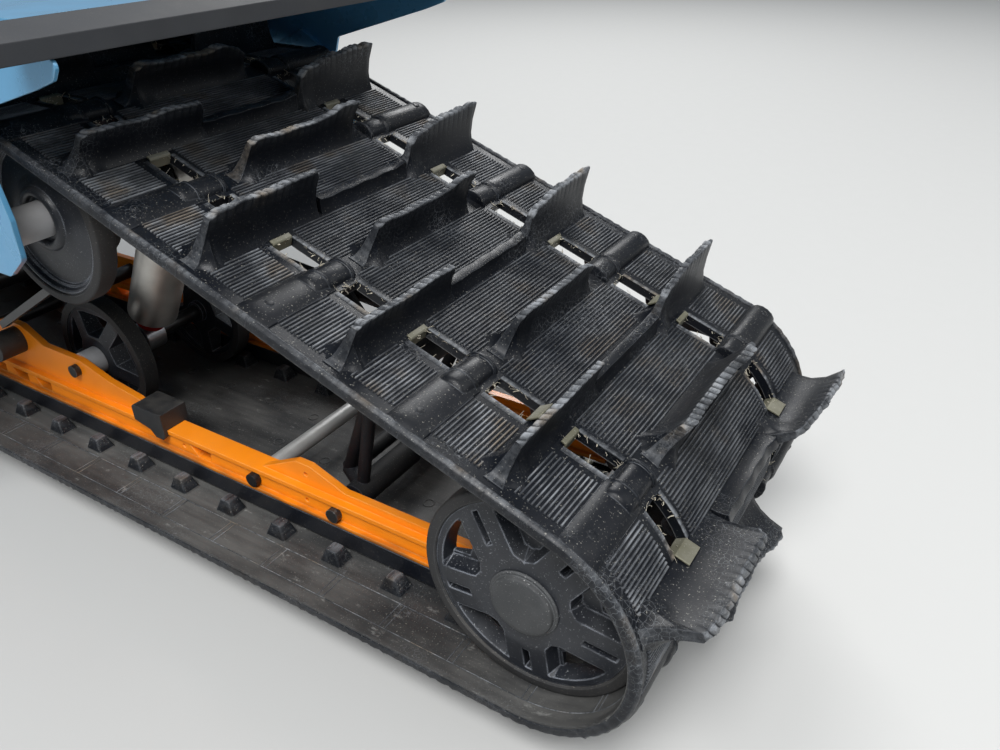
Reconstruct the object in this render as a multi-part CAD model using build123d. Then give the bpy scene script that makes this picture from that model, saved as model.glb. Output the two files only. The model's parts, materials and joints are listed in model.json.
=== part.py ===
from build123d import *
import os
from math import asin, atan2, cos, degrees, hypot, pi, radians, sin, tan

# Rear chassis of a snowmobile on its track: tunnel, drive axle, slide-rail skid and rubber paddle track.
# Millimetres. +X is forward, +Y is the machine's left, +Z is up and Z = 0 is the ground under the lugs.
# Everything is laid out from the rear axle at X = 0, then centred over its own footprint.

# Rubber track
ROD_PITCH = 72.6
ROD_COUNT = 54
BELT_WIDTH = 406.4
BELT_THICKNESS = 8.0
LUG_HEIGHT = 48.0
LUG_BASE = 18.0
LUG_TIP = 6.0
LUG_LEAN = 7.0
LUG_ROOT = 3.0
OUTER_LUG_INNER_Y = 71.0
OUTER_LUG_OUTER_Y = 188.0
CENTRE_LUG_HALF = 75.0
ROD_COVER_HEIGHT = 8.0
ROD_COVER_BASE = 24.0
WINDOW_INNER_Y = 100.0
WINDOW_OUTER_Y = 123.0
WINDOW_START = 0.20
WINDOW_END = 0.75
DRIVE_LUG_PHASE = 0.25
DRIVE_LUG_HEIGHT = 15.0
DRIVE_LUG_LENGTH = 26.0
DRIVE_LUG_WIDTH = 18.0
DRIVE_LUG_TOP = 10.0
DRIVE_LUG_SPACE = 7.0
FIRST_ROD = -17.3

# Wheels that carry the loop
IDLER_RADIUS = 95.5
CARRIER_RADIUS = 84.0
BOGIE_RADIUS = 75.0
DRIVE_TEETH = 8
BOW_RADIUS = 340.0
WHEEL_INNER_Y = 153.5
WHEEL_OUTER_Y = 173.0
BOGIE_INNER_Y = 62.5
BOGIE_OUTER_Y = 82.0
TYRE_THICKNESS = 10.0
HUB_STEP = 4.0
SPOKES = 5
FIRST_SPOKE = 18.0
IDLER_HUB_RADIUS = 46.0
IDLER_SPOKE_WIDTH = 46.0
BOGIE_HUB_RADIUS = 28.0
BOGIE_SPOKE_WIDTH = 18.0
SPOKE_SLOT_WIDTH = 6.5
WHEEL_RIM = 8.0
WHEEL_FACE_STEP = 2.0
WHEEL_DISH = 7.0
AXLE_STUB = 1.0
CAP_RADIUS = 29.0
CAP_HEIGHT = 6.0
CARRIER_HUB_RADIUS = 31.0

# Where they stand
TOP_RUN_SLOPE = 20.4
CARRIER_DISTANCE = 557.0
FLAT_LENGTH = 1040.0
DRIVE_AXLE_Z = 380.0
CARRIER_TO_BOGIE = 127.0
BOGIE_SPACING = 195.0

# Slide rails and their sliders, heights above the belt's inner face
RAIL_CENTRE_Y = 111.5
RAIL_WEB = 8.0
RAIL_LOWER_WEB = 20.0
RAIL_FOOT_WIDTH = 31.0
RAIL_FOOT_TOP = 27.5
RAIL_FLANGE_WIDTH = 24.0
RAIL_FLANGE_LOW = 43.5
RAIL_FLANGE_TOP = 49.0
SLIDER_WIDTH = 33.0
SLIDER_LIFT = 3.0
SLIDER_TOP = 24.0
RAIL_REAR_X = -42.0
RAIL_END_X = 62.0
RAIL_HUMP_X = 289.0
RAIL_HUMP_HEIGHT = 74.0
RAIL_LEDGE_HEIGHT = 58.0
RAIL_FRONT_HEIGHT = 92.0
RAIL_SLOT_LENGTH = 32.0
RAIL_SLOT_HEIGHT = 12.0
RAIL_SLOT_PITCH = 48.0
RAIL_HOLE_RADIUS = 2.5

# Shafts, pivots and arms
SEAT_GAP = 0.3
BORE_GAP = 0.05
REAR_AXLE_RADIUS = 12.0
SHAFT_RADIUS = 10.0
BOLT_HEAD_RADIUS = 13.0
BOLT_HEAD_HEIGHT = 7.0
DRIVE_AXLE_RADIUS = 15.0
LINK_FOOT_X = 245.0
LINK_HEAD_X = 218.0
LINK_HEAD_Z = 222.0
LINK_SHAFT_RADIUS = 6.0
LINK_SLEEVE_RADIUS = 14.0
LINK_LEG_SPACING = 30.0
LINK_LEG_Y = 80.0
LINK_LEG_RADIUS = 6.5
LINK_SLEEVE_END = 12.0
FRONT_PIVOT_SETBACK = 30.0
FRONT_PIVOT_HEIGHT = 66.0
FRONT_ARM_REACH = 230.0
FRONT_ARM_TOP_Z = 372.0
CROSS_TUBE_X = 354.0
CROSS_TUBE_RADIUS = 9.0
STUD_RADIUS = 5.0
STUD_HEAD_RADIUS = 7.5
ARM_TUBE_RADIUS = 11.0
BRACE_TUBE_RADIUS = 7.5
SLEEVE_RADIUS = 17.0
ARM_FOOT_SPREAD = 60.0
ARM_HEAD_SPREAD = 95.0
SHOCK_RADIUS = 29.0
SHOCK_ROD_RADIUS = 7.0
REAR_SHOCK_SHARE = 0.82
FRONT_SHOCK_SHARE = 0.62
REAR_SHOCK_Y = 16.0
SHOCK_EYE_RADIUS = 19.0
SHOCK_EYE_WIDTH = 26.0
ADJUSTER_RADIUS = 17.0
ADJUSTER_LENGTH = 20.0
EYE_SPACE = 18.0
BUMP_STOP_X = 509.0
BUMP_STOP_LENGTH = 48.0
BUMP_STOP_HEIGHT = 71.0
BUMP_STOP_SKIRT = 38.0
BUMP_STOP_WALL = 5.0
SPRING_COIL_RADIUS = 44.0
SPRING_WIRE = 9.0
SPRING_TURNS = 3
SPRING_INNER_Y = 122.0
SPRING_SLOPE = 30.0
SPRING_TAIL = 26.0
SPRING_SEAT_X = 758.0
SPRING_SEAT_RADIUS = 17.0
SPRING_SEAT_LENGTH = 32.0

# Tunnel and running boards
TRACK_SIDE_CLEARANCE = 22.8
TRACK_TOP_CLEARANCE = 15.6
SHEET = 3.0
TUNNEL_REAR_X = 362.0
TUNNEL_TAIL = 37.0
TUNNEL_TAIL_DEPTH = 38.0
TUNNEL_SKIRT_Z = 318.0
TUNNEL_FRONT_GAP = 30.0
TUNNEL_FRONT_DEPTH = 100.0
TUNNEL_BULKHEAD_DEPTH = 40.0
DRIVE_BAY_LENGTH = 190.0
FRONT_PLATE = 6.0
TAIL_BAND_DEPTH = 32.0
TAIL_BAND_HEIGHT = 23.0
TAIL_BAND_FACE = 14.0
TAIL_BAND_WALL = 4.0
TAIL_BAND_OVERHANG = 40.0
BOARD_WIDTH = 150.0
BOARD_TAIL_WIDTH = 26.0
BOARD_LIFT = 20.0
BOARD_SLOTS = 9
BOARD_SLOT_WIDTH = 24.0
BRACKET_THICKNESS = 5.0
BRACKET_REACH = 58.0
BRACKET_DROP = 29.0
BULKHEAD_HOLE_RADIUS = 5.5
BULKHEAD_SPACING_Y = 380.0
BULKHEAD_SPACING_Z = 130.0
SEAT_HOLE_RADIUS = 4.5
SEAT_SPACING_X = 520.0
SEAT_SPACING_Y = 240.0
BEARING_RADIUS = 42.0
BEARING_THICKNESS = 14.0
AXLE_END = 24.0
AXLE_END_RADIUS = 12.5

# Values that follow from the ones above
BELT_INNER_Z = BELT_THICKNESS + LUG_HEIGHT
IDLER_Z = BELT_INNER_Z + IDLER_RADIUS
SPROCKET_RADIUS = DRIVE_TEETH * ROD_PITCH / (2 * pi) - BELT_THICKNESS / 2
LOOP_LENGTH = ROD_COUNT * ROD_PITCH
SLOPE = radians(TOP_RUN_SLOPE)
CARRIER_X = CARRIER_DISTANCE * cos(SLOPE) - (IDLER_RADIUS - CARRIER_RADIUS) * sin(SLOPE)
CARRIER_Z = IDLER_Z + CARRIER_DISTANCE * sin(SLOPE) + (IDLER_RADIUS - CARRIER_RADIUS) * cos(SLOPE)
BOGIE_Z = BELT_INNER_Z + BOGIE_RADIUS + SEAT_GAP
REAR_BOGIE_X = CARRIER_X + CARRIER_TO_BOGIE
FRONT_BOGIE_X = REAR_BOGIE_X + BOGIE_SPACING
RAIL_WEB_FACE = RAIL_CENTRE_Y + RAIL_WEB / 2
RAIL_LOWER_FACE = RAIL_CENTRE_Y + RAIL_LOWER_WEB / 2
# Half way between the rail's foot and its flange, where the small cross bolts pass
BOLT_LINE_Z = BELT_INNER_Z + (RAIL_FOOT_TOP + RAIL_FLANGE_LOW) / 2
FRONT_PIVOT_X = FLAT_LENGTH - FRONT_PIVOT_SETBACK
FRONT_ARM_TOP_X = FRONT_PIVOT_X + FRONT_ARM_REACH
TUNNEL_HALF_WIDTH = BELT_WIDTH / 2 + TRACK_SIDE_CLEARANCE
TRACK_TOP_Z = max(DRIVE_AXLE_Z + SPROCKET_RADIUS, CARRIER_Z + CARRIER_RADIUS) + BELT_THICKNESS + LUG_HEIGHT
TUNNEL_TOP_Z = TRACK_TOP_Z + TRACK_TOP_CLEARANCE
TAIL_BAND_Z = TUNNEL_TOP_Z + SHEET - TAIL_BAND_HEIGHT
FRONT_PIVOT_Z = BELT_INNER_Z + FRONT_PIVOT_HEIGHT
RAIL_SHAFT_PLACES = [(REAR_BOGIE_X, BOGIE_Z), (FRONT_BOGIE_X, BOGIE_Z), (FRONT_PIVOT_X, FRONT_PIVOT_Z)]
SPRING_SEAT_Z = (
    CARRIER_Z
    - (SPRING_SEAT_X - CARRIER_X) * tan(radians(SPRING_SLOPE))
    - (SPRING_COIL_RADIUS + SPRING_WIRE / 2 + SEAT_GAP + SPRING_SEAT_RADIUS) / cos(radians(SPRING_SLOPE))
)


def loop_pieces(drive_x):
    """The belt's runs and arcs for one place of the drive axle, and the length along the rods."""
    wheels = [
        (0.0, IDLER_Z, IDLER_RADIUS),
        (CARRIER_X, CARRIER_Z, CARRIER_RADIUS),
        (drive_x, DRIVE_AXLE_Z, SPROCKET_RADIUS),
        (FLAT_LENGTH, BELT_INNER_Z + BOW_RADIUS, BOW_RADIUS),
    ]
    headings, lengths = [], []
    for (x1, z1, r1), (x2, z2, r2) in zip(wheels, wheels[1:] + wheels[:1]):
        reach = hypot(x2 - x1, z2 - z1)
        headings.append(atan2(z2 - z1, x2 - x1) - asin((r1 - r2) / reach))
        lengths.append((reach**2 - (r1 - r2) ** 2) ** 0.5)
    pieces = []
    for i, (x, z, radius) in enumerate(wheels):
        before = headings[i - 1]
        turn = (before - headings[i]) % (2 * pi)
        pieces.append(("arc", x, z, radius, before, turn, (radius + BELT_THICKNESS / 2) * turn))
        start = (x - radius * sin(headings[i]), z + radius * cos(headings[i]))
        pieces.append(("run", *start, radius, headings[i], 0.0, lengths[i]))
    total = sum(piece[6] for piece in pieces)
    return pieces, total


def drive_axle_x():
    """The forward place of the drive axle at which the loop takes exactly its rods."""
    near, far = FLAT_LENGTH + BOW_RADIUS, CARRIER_X + LOOP_LENGTH / 2
    for _ in range(60):
        middle = (near + far) / 2
        if loop_pieces(middle)[1] > LOOP_LENGTH:
            far = middle
        else:
            near = middle
    return (near + far) / 2


DRIVE_X = drive_axle_x()
LOOP = loop_pieces(DRIVE_X)[0]
BOW_TURN = LOOP[6][5]
# Distances along the rods count from the start of the sloping top run, just past the rear idler
LOOP_FROM_TOP_RUN = LOOP[1:] + LOOP[:1]
TUNNEL_FRONT_X = DRIVE_X + SPROCKET_RADIUS + BELT_THICKNESS + LUG_HEIGHT + TUNNEL_FRONT_GAP


def loop_location(distance):
    """The place on the belt's inner face at a distance along the rods: X with travel, Z outwards."""
    left = distance % LOOP_LENGTH
    for kind, x, z, radius, heading, turn, length in LOOP_FROM_TOP_RUN:
        if left <= length:
            break
        left -= length
    if kind == "run":
        place = (x + left * cos(heading), z + left * sin(heading))
    else:
        heading -= turn * left / length
        place = (x - radius * sin(heading), z + radius * cos(heading))
    return Location((place[0], 0, place[1]), (0, -degrees(heading), 0))


def loop_face(height):
    """The area inside the loop, its edge moved outwards from the belt's inner face by a height."""
    edges = []
    for kind, x, z, radius, heading, turn, length in LOOP:
        if kind == "run":
            shift = (-height * sin(heading), height * cos(heading))
            start = (x + shift[0], z + shift[1])
            edges.append(Line(start, (start[0] + length * cos(heading), start[1] + length * sin(heading))))
        else:
            reach = radius + height
            points = [
                (x - reach * sin(heading - turn * part), z + reach * cos(heading - turn * part))
                for part in (0.0, 0.5, 1.0)
            ]
            edges.append(ThreePointArc(*points))
    return make_face(edges)


def prism(face, y_low, y_high):
    """A side view drawn as (X, Z), made solid between two distances across the machine."""
    return extrude(Pos(0, y_high, 0) * (Plane.XZ * face), amount=y_high - y_low)


def outline(points, radius=0.0):
    """A closed side view from its corners, rounded where a radius is given."""
    if radius:
        return make_face(FilletPolyline(*points, radius=radius, close=True))
    return make_face(Polyline(*points, close=True))


def rod(start, end, radius):
    """A round bar from one point to another."""
    along = Vector(end) - Vector(start)
    lower = (Align.CENTER, Align.CENTER, Align.MIN)
    return Plane(origin=start, z_dir=along) * Cylinder(radius, along.length, align=lower)


def cross_rod(x, z, radius, y_low, y_high):
    """A round bar across the machine."""
    return rod((x, y_low, z), (x, y_high, z), radius)


def turned(points, x, z):
    """A part turned about a cross axis from its half section, given as (radius, Y)."""
    return Pos(x, 0, z) * revolve(make_face(Polyline(*points, close=True)), Axis.Y)


def mirrored(solid):
    """The mirror image of a left piece, for the machine's right side."""
    return mirror(solid, about=Plane.XZ)


def lug(y_low, y_high, height=LUG_HEIGHT):
    """One paddle in loop coordinates: a thin blade on a wide root, leaning with the travel."""
    top = BELT_THICKNESS + height
    root = BELT_THICKNESS - LUG_ROOT
    half = LUG_BASE / 2
    corners = [(-half, root), (LUG_LEAN - LUG_TIP / 2, top), (LUG_LEAN + LUG_TIP / 2, top), (half, root)]
    return prism(outline(corners), y_low, y_high)


def rod_cover(y_low, y_high):
    """The low bar that covers a rod's outer end."""
    half = ROD_COVER_BASE / 2
    root = BELT_THICKNESS - LUG_ROOT
    top = BELT_THICKNESS + ROD_COVER_HEIGHT
    corners = [(-half, root), (-half / 2, top), (half / 2, top), (half, root)]
    return prism(outline(corners), y_low, y_high)


def drive_lug(y_low, y_high):
    """One moulded block on the belt's inner face."""
    half, tip = DRIVE_LUG_LENGTH / 2, DRIVE_LUG_TOP / 2
    corners = [(-half, LUG_ROOT), (-tip, -DRIVE_LUG_HEIGHT), (tip, -DRIVE_LUG_HEIGHT), (half, LUG_ROOT)]
    return prism(outline(corners), y_low, y_high)


def make_track():
    """The closed rubber belt: windows between the rods, paddles outside and drive lugs inside."""
    belt = prism(loop_face(BELT_THICKNESS) - loop_face(0), -BELT_WIDTH / 2, BELT_WIDTH / 2)
    edge = BELT_WIDTH / 2
    lug_row = RAIL_CENTRE_Y + SLIDER_WIDTH / 2 + DRIVE_LUG_SPACE
    window_length = (WINDOW_END - WINDOW_START) * ROD_PITCH
    outer_lug = lug(OUTER_LUG_INNER_Y, OUTER_LUG_OUTER_Y)
    centre_lug = lug(-CENTRE_LUG_HALF, CENTRE_LUG_HALF)
    cover = rod_cover(WINDOW_OUTER_Y, edge)
    block = drive_lug(lug_row, lug_row + DRIVE_LUG_WIDTH)
    window = Pos(0, (WINDOW_INNER_Y + WINDOW_OUTER_Y) / 2, BELT_THICKNESS / 2) * Box(
        window_length, WINDOW_OUTER_Y - WINDOW_INNER_Y, 4 * BELT_THICKNESS
    )
    added, windows = [], []
    for k in range(ROD_COUNT):
        place = loop_location(FIRST_ROD + k * ROD_PITCH)
        if k % 2:
            added += [place * outer_lug, place * mirrored(outer_lug)]
        else:
            added += [place * centre_lug, place * cover, place * mirrored(cover)]
        place = loop_location(FIRST_ROD + (k + DRIVE_LUG_PHASE) * ROD_PITCH)
        added += [place * block, place * mirrored(block)]
        place = loop_location(FIRST_ROD + (k + (WINDOW_START + WINDOW_END) / 2) * ROD_PITCH)
        windows += [place * window, place * mirrored(window)]
    return belt.fuse(*added).cut(*windows)


def rail_face():
    """The slide rail's web in side view: a hump over the cross bolts and a higher front half."""
    up = BELT_INNER_Z
    tip = BOW_RADIUS * sin(BOW_TURN)
    crest = SPRING_SEAT_Z + SPRING_SEAT_RADIUS + 5
    front = up + RAIL_FRONT_HEIGHT
    corners = [
        (RAIL_REAR_X, up + IDLER_RADIUS - 22),
        (RAIL_REAR_X, up + IDLER_RADIUS + 22),
        (30, up + IDLER_RADIUS + 22),
        (84, up + RAIL_LEDGE_HEIGHT),
        (RAIL_HUMP_X - 52, up + RAIL_LEDGE_HEIGHT),
        (RAIL_HUMP_X - 9, up + RAIL_HUMP_HEIGHT),
        (RAIL_HUMP_X + 9, up + RAIL_HUMP_HEIGHT),
        (RAIL_HUMP_X + 58, up + RAIL_FLANGE_TOP),
        (BUMP_STOP_X, up + RAIL_FLANGE_TOP),
        (BUMP_STOP_X + 30, up + RAIL_LEDGE_HEIGHT + 11),
        (REAR_BOGIE_X - 57, front - 16),
        (REAR_BOGIE_X - 10, front - 2),
        (SPRING_SEAT_X - 52, front - 2),
        (SPRING_SEAT_X - 14, crest),
        (SPRING_SEAT_X + 22, crest),
        (SPRING_SEAT_X + 62, front),
        (FLAT_LENGTH + tip, front),
        (FLAT_LENGTH + tip, 0),
        (60, 0),
    ]
    return outline(corners, 7.0) & loop_face(-SLIDER_TOP)


def rail_strip(low, high):
    """A strip of the rail in side view that follows the belt, between two heights above it."""
    tip = BOW_RADIUS * sin(BOW_TURN)
    top = BELT_INNER_Z + RAIL_FRONT_HEIGHT
    reach = outline([(RAIL_END_X, 0), (RAIL_END_X, top), (FLAT_LENGTH + tip, top), (FLAT_LENGTH + tip, 0)])
    return (loop_face(-low) - loop_face(-high)) & reach


def across_rail(face, width):
    """A rail's side view made solid over a width about the rail's middle."""
    return prism(face, RAIL_CENTRE_Y - width / 2, RAIL_CENTRE_Y + width / 2)


def make_rail():
    """The left slide rail: a web with a foot on the slider and a flange, slotted and bored."""
    rail = across_rail(rail_face(), RAIL_WEB)
    rail += across_rail(rail_strip(SLIDER_TOP, RAIL_FOOT_TOP), RAIL_FOOT_WIDTH)
    rail += across_rail(rail_strip(RAIL_FOOT_TOP, RAIL_FLANGE_LOW), RAIL_LOWER_WEB)
    rail += across_rail(rail_strip(RAIL_FLANGE_LOW, RAIL_FLANGE_TOP), RAIL_FLANGE_WIDTH)
    rear = outline([(RAIL_REAR_X, 0), (RAIL_REAR_X, 2 * IDLER_Z), (RAIL_END_X, 2 * IDLER_Z), (RAIL_END_X, 0)])
    rail += across_rail(rail_face() & rear, RAIL_LOWER_WEB)
    for x, z in ((LINK_FOOT_X, BOLT_LINE_Z), (CROSS_TUBE_X, BOLT_LINE_Z), *RAIL_SHAFT_PLACES):
        rail -= cross_rod(x, z, STUD_RADIUS + BORE_GAP, 0, BELT_WIDTH)
    slot_places = [BUMP_STOP_X - 1.5 * RAIL_SLOT_PITCH] + [
        REAR_BOGIE_X + (i + 1.6) * RAIL_SLOT_PITCH for i in range(1 + round(BOGIE_SPACING / RAIL_SLOT_PITCH))
    ]
    upper_hole = (RAIL_HUMP_X - 3, BELT_INNER_Z + RAIL_FLANGE_TOP + 13)
    small_holes = [(BUMP_STOP_X - 45, BOLT_LINE_Z), (LINK_FOOT_X + 38, BOLT_LINE_Z), upper_hole]
    for x, z in small_holes:
        rail -= cross_rod(x, z, RAIL_HOLE_RADIUS, 0, BELT_WIDTH)
    half = RAIL_SLOT_LENGTH / 2
    slot = outline([(2 - half, 0), (half - 9, 0), (half, RAIL_SLOT_HEIGHT), (-half, RAIL_SLOT_HEIGHT)])
    for x in slot_places:
        rail -= Pos(x, 0, BELT_INNER_Z + RAIL_FOOT_TOP + 1) * across_rail(slot, BELT_WIDTH)
    rail -= prism(adjuster_face(SEAT_GAP), 0, BELT_WIDTH)
    return rail


def adjuster_face(gap=0.0):
    """The axle adjuster's block in side view, grown by a gap for the slot it sits in."""
    return Pos(0, IDLER_Z) * Rectangle(56 + 2 * gap, 26 + 2 * gap)


def make_adjuster():
    """The block that holds the rear axle in a rail's slot."""
    block = across_rail(adjuster_face(), RAIL_LOWER_WEB + 6)
    return block - cross_rod(0, IDLER_Z, REAR_AXLE_RADIUS + BORE_GAP, 0, BELT_WIDTH)


def make_slider():
    """The left slider: the plastic strip that runs on the belt and follows the rail round its bow."""
    strip = loop_face(-SLIDER_LIFT) - loop_face(-SLIDER_TOP)
    tip = BOW_RADIUS * sin(BOW_TURN)
    reach = outline([(100, 0), (100, BELT_INNER_Z + 60), (FLAT_LENGTH, BELT_INNER_Z + 90),
                     (FLAT_LENGTH + tip, BELT_INNER_Z + 90), (FLAT_LENGTH + tip, 0)])
    half = SLIDER_WIDTH / 2
    return prism(strip & reach, RAIL_CENTRE_Y - half, RAIL_CENTRE_Y + half)


def wheel_plan(shape, angle):
    """A shape drawn in a wheel's plane with X outwards along a spoke, turned to the spoke's angle."""
    return Rot(0, angle, 0) * prism(shape, 0, BELT_WIDTH)


def make_spoked_wheel(x, z, radius, y_low, y_high, bore, hub, spoke_width):
    """A moulded wheel without its tyre: a raised hub and broad slotted spokes between its pockets."""
    rim = radius - TYRE_THICKNESS
    inside = rim - WHEEL_RIM
    face = y_high - WHEEL_FACE_STEP
    low_hub = bore + HUB_STEP
    profile = [(bore + BORE_GAP, y_low - HUB_STEP), (low_hub, y_low - HUB_STEP), (low_hub, y_low + 2),
               (rim, y_low + 2), (rim, face), (inside, face), (hub, face + WHEEL_DISH),
               (bore + BORE_GAP, face + WHEEL_DISH)]
    disc = turned(profile, x, z)
    turn = pi / SPOKES
    side = spoke_width / 2 / cos(turn)
    near = max(hub + 2, side / tan(turn) + 4)
    corner = inside * cos(turn / 2)
    edge = [(near, side - near * tan(turn)), (corner, side - corner * tan(turn)),
            (inside, (side - inside * tan(turn)) / 2)]
    pocket = outline(edge + [(x, -y) for x, y in reversed(edge)])
    half_slot = SPOKE_SLOT_WIDTH / 2
    slot = outline([(hub, -half_slot), (hub, half_slot), (inside, half_slot), (inside, -half_slot)])
    for i in range(SPOKES):
        spoke = FIRST_SPOKE + 360 * i / SPOKES
        disc -= Pos(x, 0, z) * wheel_plan(pocket, spoke + 180 / SPOKES)
        if spoke_width > 4 * SPOKE_SLOT_WIDTH:
            disc -= Pos(x, 0, z) * wheel_plan(slot, spoke)
    return disc


def make_dished_wheel(x, z, radius, y_low, y_high, bore):
    """The carrier's closed wheel without its tyre: a dished disc with a raised ring round the hub."""
    rim = radius - TYRE_THICKNESS
    inside = rim - WHEEL_RIM / 2
    ring = CARRIER_HUB_RADIUS
    middle = (y_low + y_high) / 2
    face = y_high - WHEEL_FACE_STEP
    profile = [
        (bore + BORE_GAP, y_low - HUB_STEP), (ring, y_low - HUB_STEP), (inside, middle - 6), (rim, y_low),
        (rim, y_high), (inside, middle), (ring, face - 3), (ring - 3, face), (ring - 8, face),
        (ring - 9, middle + 3), (bore + BORE_GAP, middle + 3),
    ]
    return turned(profile, x, z)


def make_tyre(x, z, radius, y_low, y_high):
    """The rubber ring bonded round a wheel's rim."""
    inner = radius - TYRE_THICKNESS
    outer = radius - SEAT_GAP
    return turned([(inner, y_low), (outer, y_low), (outer, y_high), (inner, y_high)], x, z)


def make_shaft(x, z, radius, face_y, head_radius=BOLT_HEAD_RADIUS):
    """A cross shaft through both side plates, with a bolt head outside each."""
    ends = face_y + BOLT_HEAD_HEIGHT
    shaft = cross_rod(x, z, radius, -ends, ends)
    for side in (-1, 1):
        low, high = sorted((side * (face_y + BORE_GAP), side * ends))
        shaft += cross_rod(x, z, head_radius, low, high)
    return shaft


def make_clamped_shaft(x, z, radius, inner_face, outer_face):
    """A shaft or tube between the rails, clamped by a stud through each of them."""
    tube = make_shaft(x, z, STUD_RADIUS, outer_face, STUD_HEAD_RADIUS)
    return tube + cross_rod(x, z, radius, BORE_GAP - inner_face, inner_face - BORE_GAP)


def make_arm(foot, head, foot_half, head_half, spread_foot, spread_head, foot_bore):
    """A welded suspension arm: sleeves on both pivot shafts, two legs and crossed braces.

    The upper sleeve is in two halves, so that a shock's eye fits between them.
    """
    eye_space = SHOCK_EYE_WIDTH / 2 + EYE_SPACE
    arm = cross_rod(*foot, SLEEVE_RADIUS, -foot_half, foot_half)
    for side in (-1, 1):
        arm += cross_rod(*head, SLEEVE_RADIUS, *sorted((side * eye_space, side * head_half)))
        low = (foot[0], side * spread_foot, foot[1])
        high = (head[0], side * spread_head, head[1])
        arm += rod(low, high, ARM_TUBE_RADIUS)
        arm += rod(low, (head[0], -side * spread_head, head[1]), BRACE_TUBE_RADIUS)
    arm -= cross_rod(*foot, foot_bore + BORE_GAP, -BELT_WIDTH, BELT_WIDTH)
    return arm - cross_rod(*head, SHAFT_RADIUS + BORE_GAP, -BELT_WIDTH, BELT_WIDTH)


def make_shock(top, bottom, y, share):
    """A gas shock between two shafts: its body and upper eye, its rod and lower eye, its adjuster.

    The share is how much of its length the body takes.
    """
    low_eye, high_eye = y - SHOCK_EYE_WIDTH / 2, y + SHOCK_EYE_WIDTH / 2
    start, end = Vector(top[0], y, top[1]), Vector(bottom[0], y, bottom[1])
    along = (end - start).normalized()
    length = (end - start).length
    body = rod(start + along * 26, start + along * (length * share), SHOCK_RADIUS)
    body += rod(start, start + along * 30, SHOCK_RADIUS * 0.5)
    body += cross_rod(top[0], top[1], SHOCK_EYE_RADIUS, low_eye, high_eye)
    body -= cross_rod(top[0], top[1], SHAFT_RADIUS + BORE_GAP, -BELT_WIDTH, BELT_WIDTH)
    body -= rod(start + along * (length * 0.4), end, SHOCK_ROD_RADIUS + BORE_GAP)
    piston = rod(start + along * (length * 0.45), end, SHOCK_ROD_RADIUS)
    piston += cross_rod(bottom[0], bottom[1], SHOCK_EYE_RADIUS, low_eye, high_eye)
    piston -= cross_rod(bottom[0], bottom[1], SHAFT_RADIUS + BORE_GAP, -BELT_WIDTH, BELT_WIDTH)
    knob_start = start + along * (length * share + SEAT_GAP)
    knob = rod(knob_start, knob_start + along * ADJUSTER_LENGTH, ADJUSTER_RADIUS)
    knob -= rod(start, end, SHOCK_ROD_RADIUS + BORE_GAP)
    return body, piston, knob


def make_link():
    """The scissor link behind the rear arm: two sleeves joined by a pair of legs on each side."""
    foot, head = (LINK_FOOT_X, BOLT_LINE_Z), (LINK_HEAD_X, LINK_HEAD_Z)
    half = RAIL_CENTRE_Y - SLIDER_WIDTH / 2 - SEAT_GAP
    link = cross_rod(*foot, LINK_SLEEVE_RADIUS, -half, half)
    lift = LINK_SLEEVE_RADIUS / 2
    for side in (-1, 1):
        y = side * LINK_LEG_Y
        ends = sorted((side * (LINK_LEG_Y - LINK_SLEEVE_END), side * (LINK_LEG_Y + LINK_SLEEVE_END)))
        link += cross_rod(*head, LINK_SLEEVE_RADIUS, *ends)
        link += rod((foot[0], y, foot[1] + lift), (head[0], y, head[1]), LINK_LEG_RADIUS)
        front = (foot[0] + LINK_LEG_SPACING, side * (LINK_LEG_Y - 14), foot[1] + lift)
        link += rod(front, (head[0], y, head[1]), LINK_LEG_RADIUS)
        link += rod((foot[0], y, foot[1]), front, BRACE_TUBE_RADIUS)
    brace = (foot[0] + LINK_LEG_SPACING, foot[1] + lift)
    link += cross_rod(*brace, ARM_TUBE_RADIUS * 0.8, 14 - LINK_LEG_Y, LINK_LEG_Y - 14)
    for x, z in (foot, head):
        link -= cross_rod(x, z, LINK_SHAFT_RADIUS + BORE_GAP, -BELT_WIDTH, BELT_WIDTH)
    return link


def make_spring():
    """The left torsion spring: square wire coiled round the carrier shaft, its leg on the rail's seat."""
    low, high = SPRING_COIL_RADIUS - SPRING_WIRE / 2, SPRING_COIL_RADIUS + SPRING_WIRE / 2
    groove = 1.0
    profile = [(low, SPRING_INNER_Y)]
    for turn in range(SPRING_TURNS):
        start = SPRING_INNER_Y + turn * SPRING_WIRE
        profile += [(high, start + groove / 2), (high, start + SPRING_WIRE - groove / 2)]
        if turn < SPRING_TURNS - 1:
            profile.append((high - 2 * groove, start + SPRING_WIRE))
    profile.append((low, SPRING_INNER_Y + SPRING_TURNS * SPRING_WIRE))
    coil = turned(profile, CARRIER_X, CARRIER_Z)
    slope = radians(SPRING_SLOPE)
    length = (SPRING_SEAT_X - CARRIER_X) / cos(slope) + SPRING_TAIL
    leg = outline([(0, -high), (length, -high), (length, -low), (0, -low)])
    wire_low, wire_high = SPRING_INNER_Y + groove / 2, SPRING_INNER_Y + SPRING_WIRE - groove / 2
    leg = Rot(0, SPRING_SLOPE, 0) * prism(leg, wire_low, wire_high)
    return coil + Pos(CARRIER_X, 0, CARRIER_Z) * leg


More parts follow.
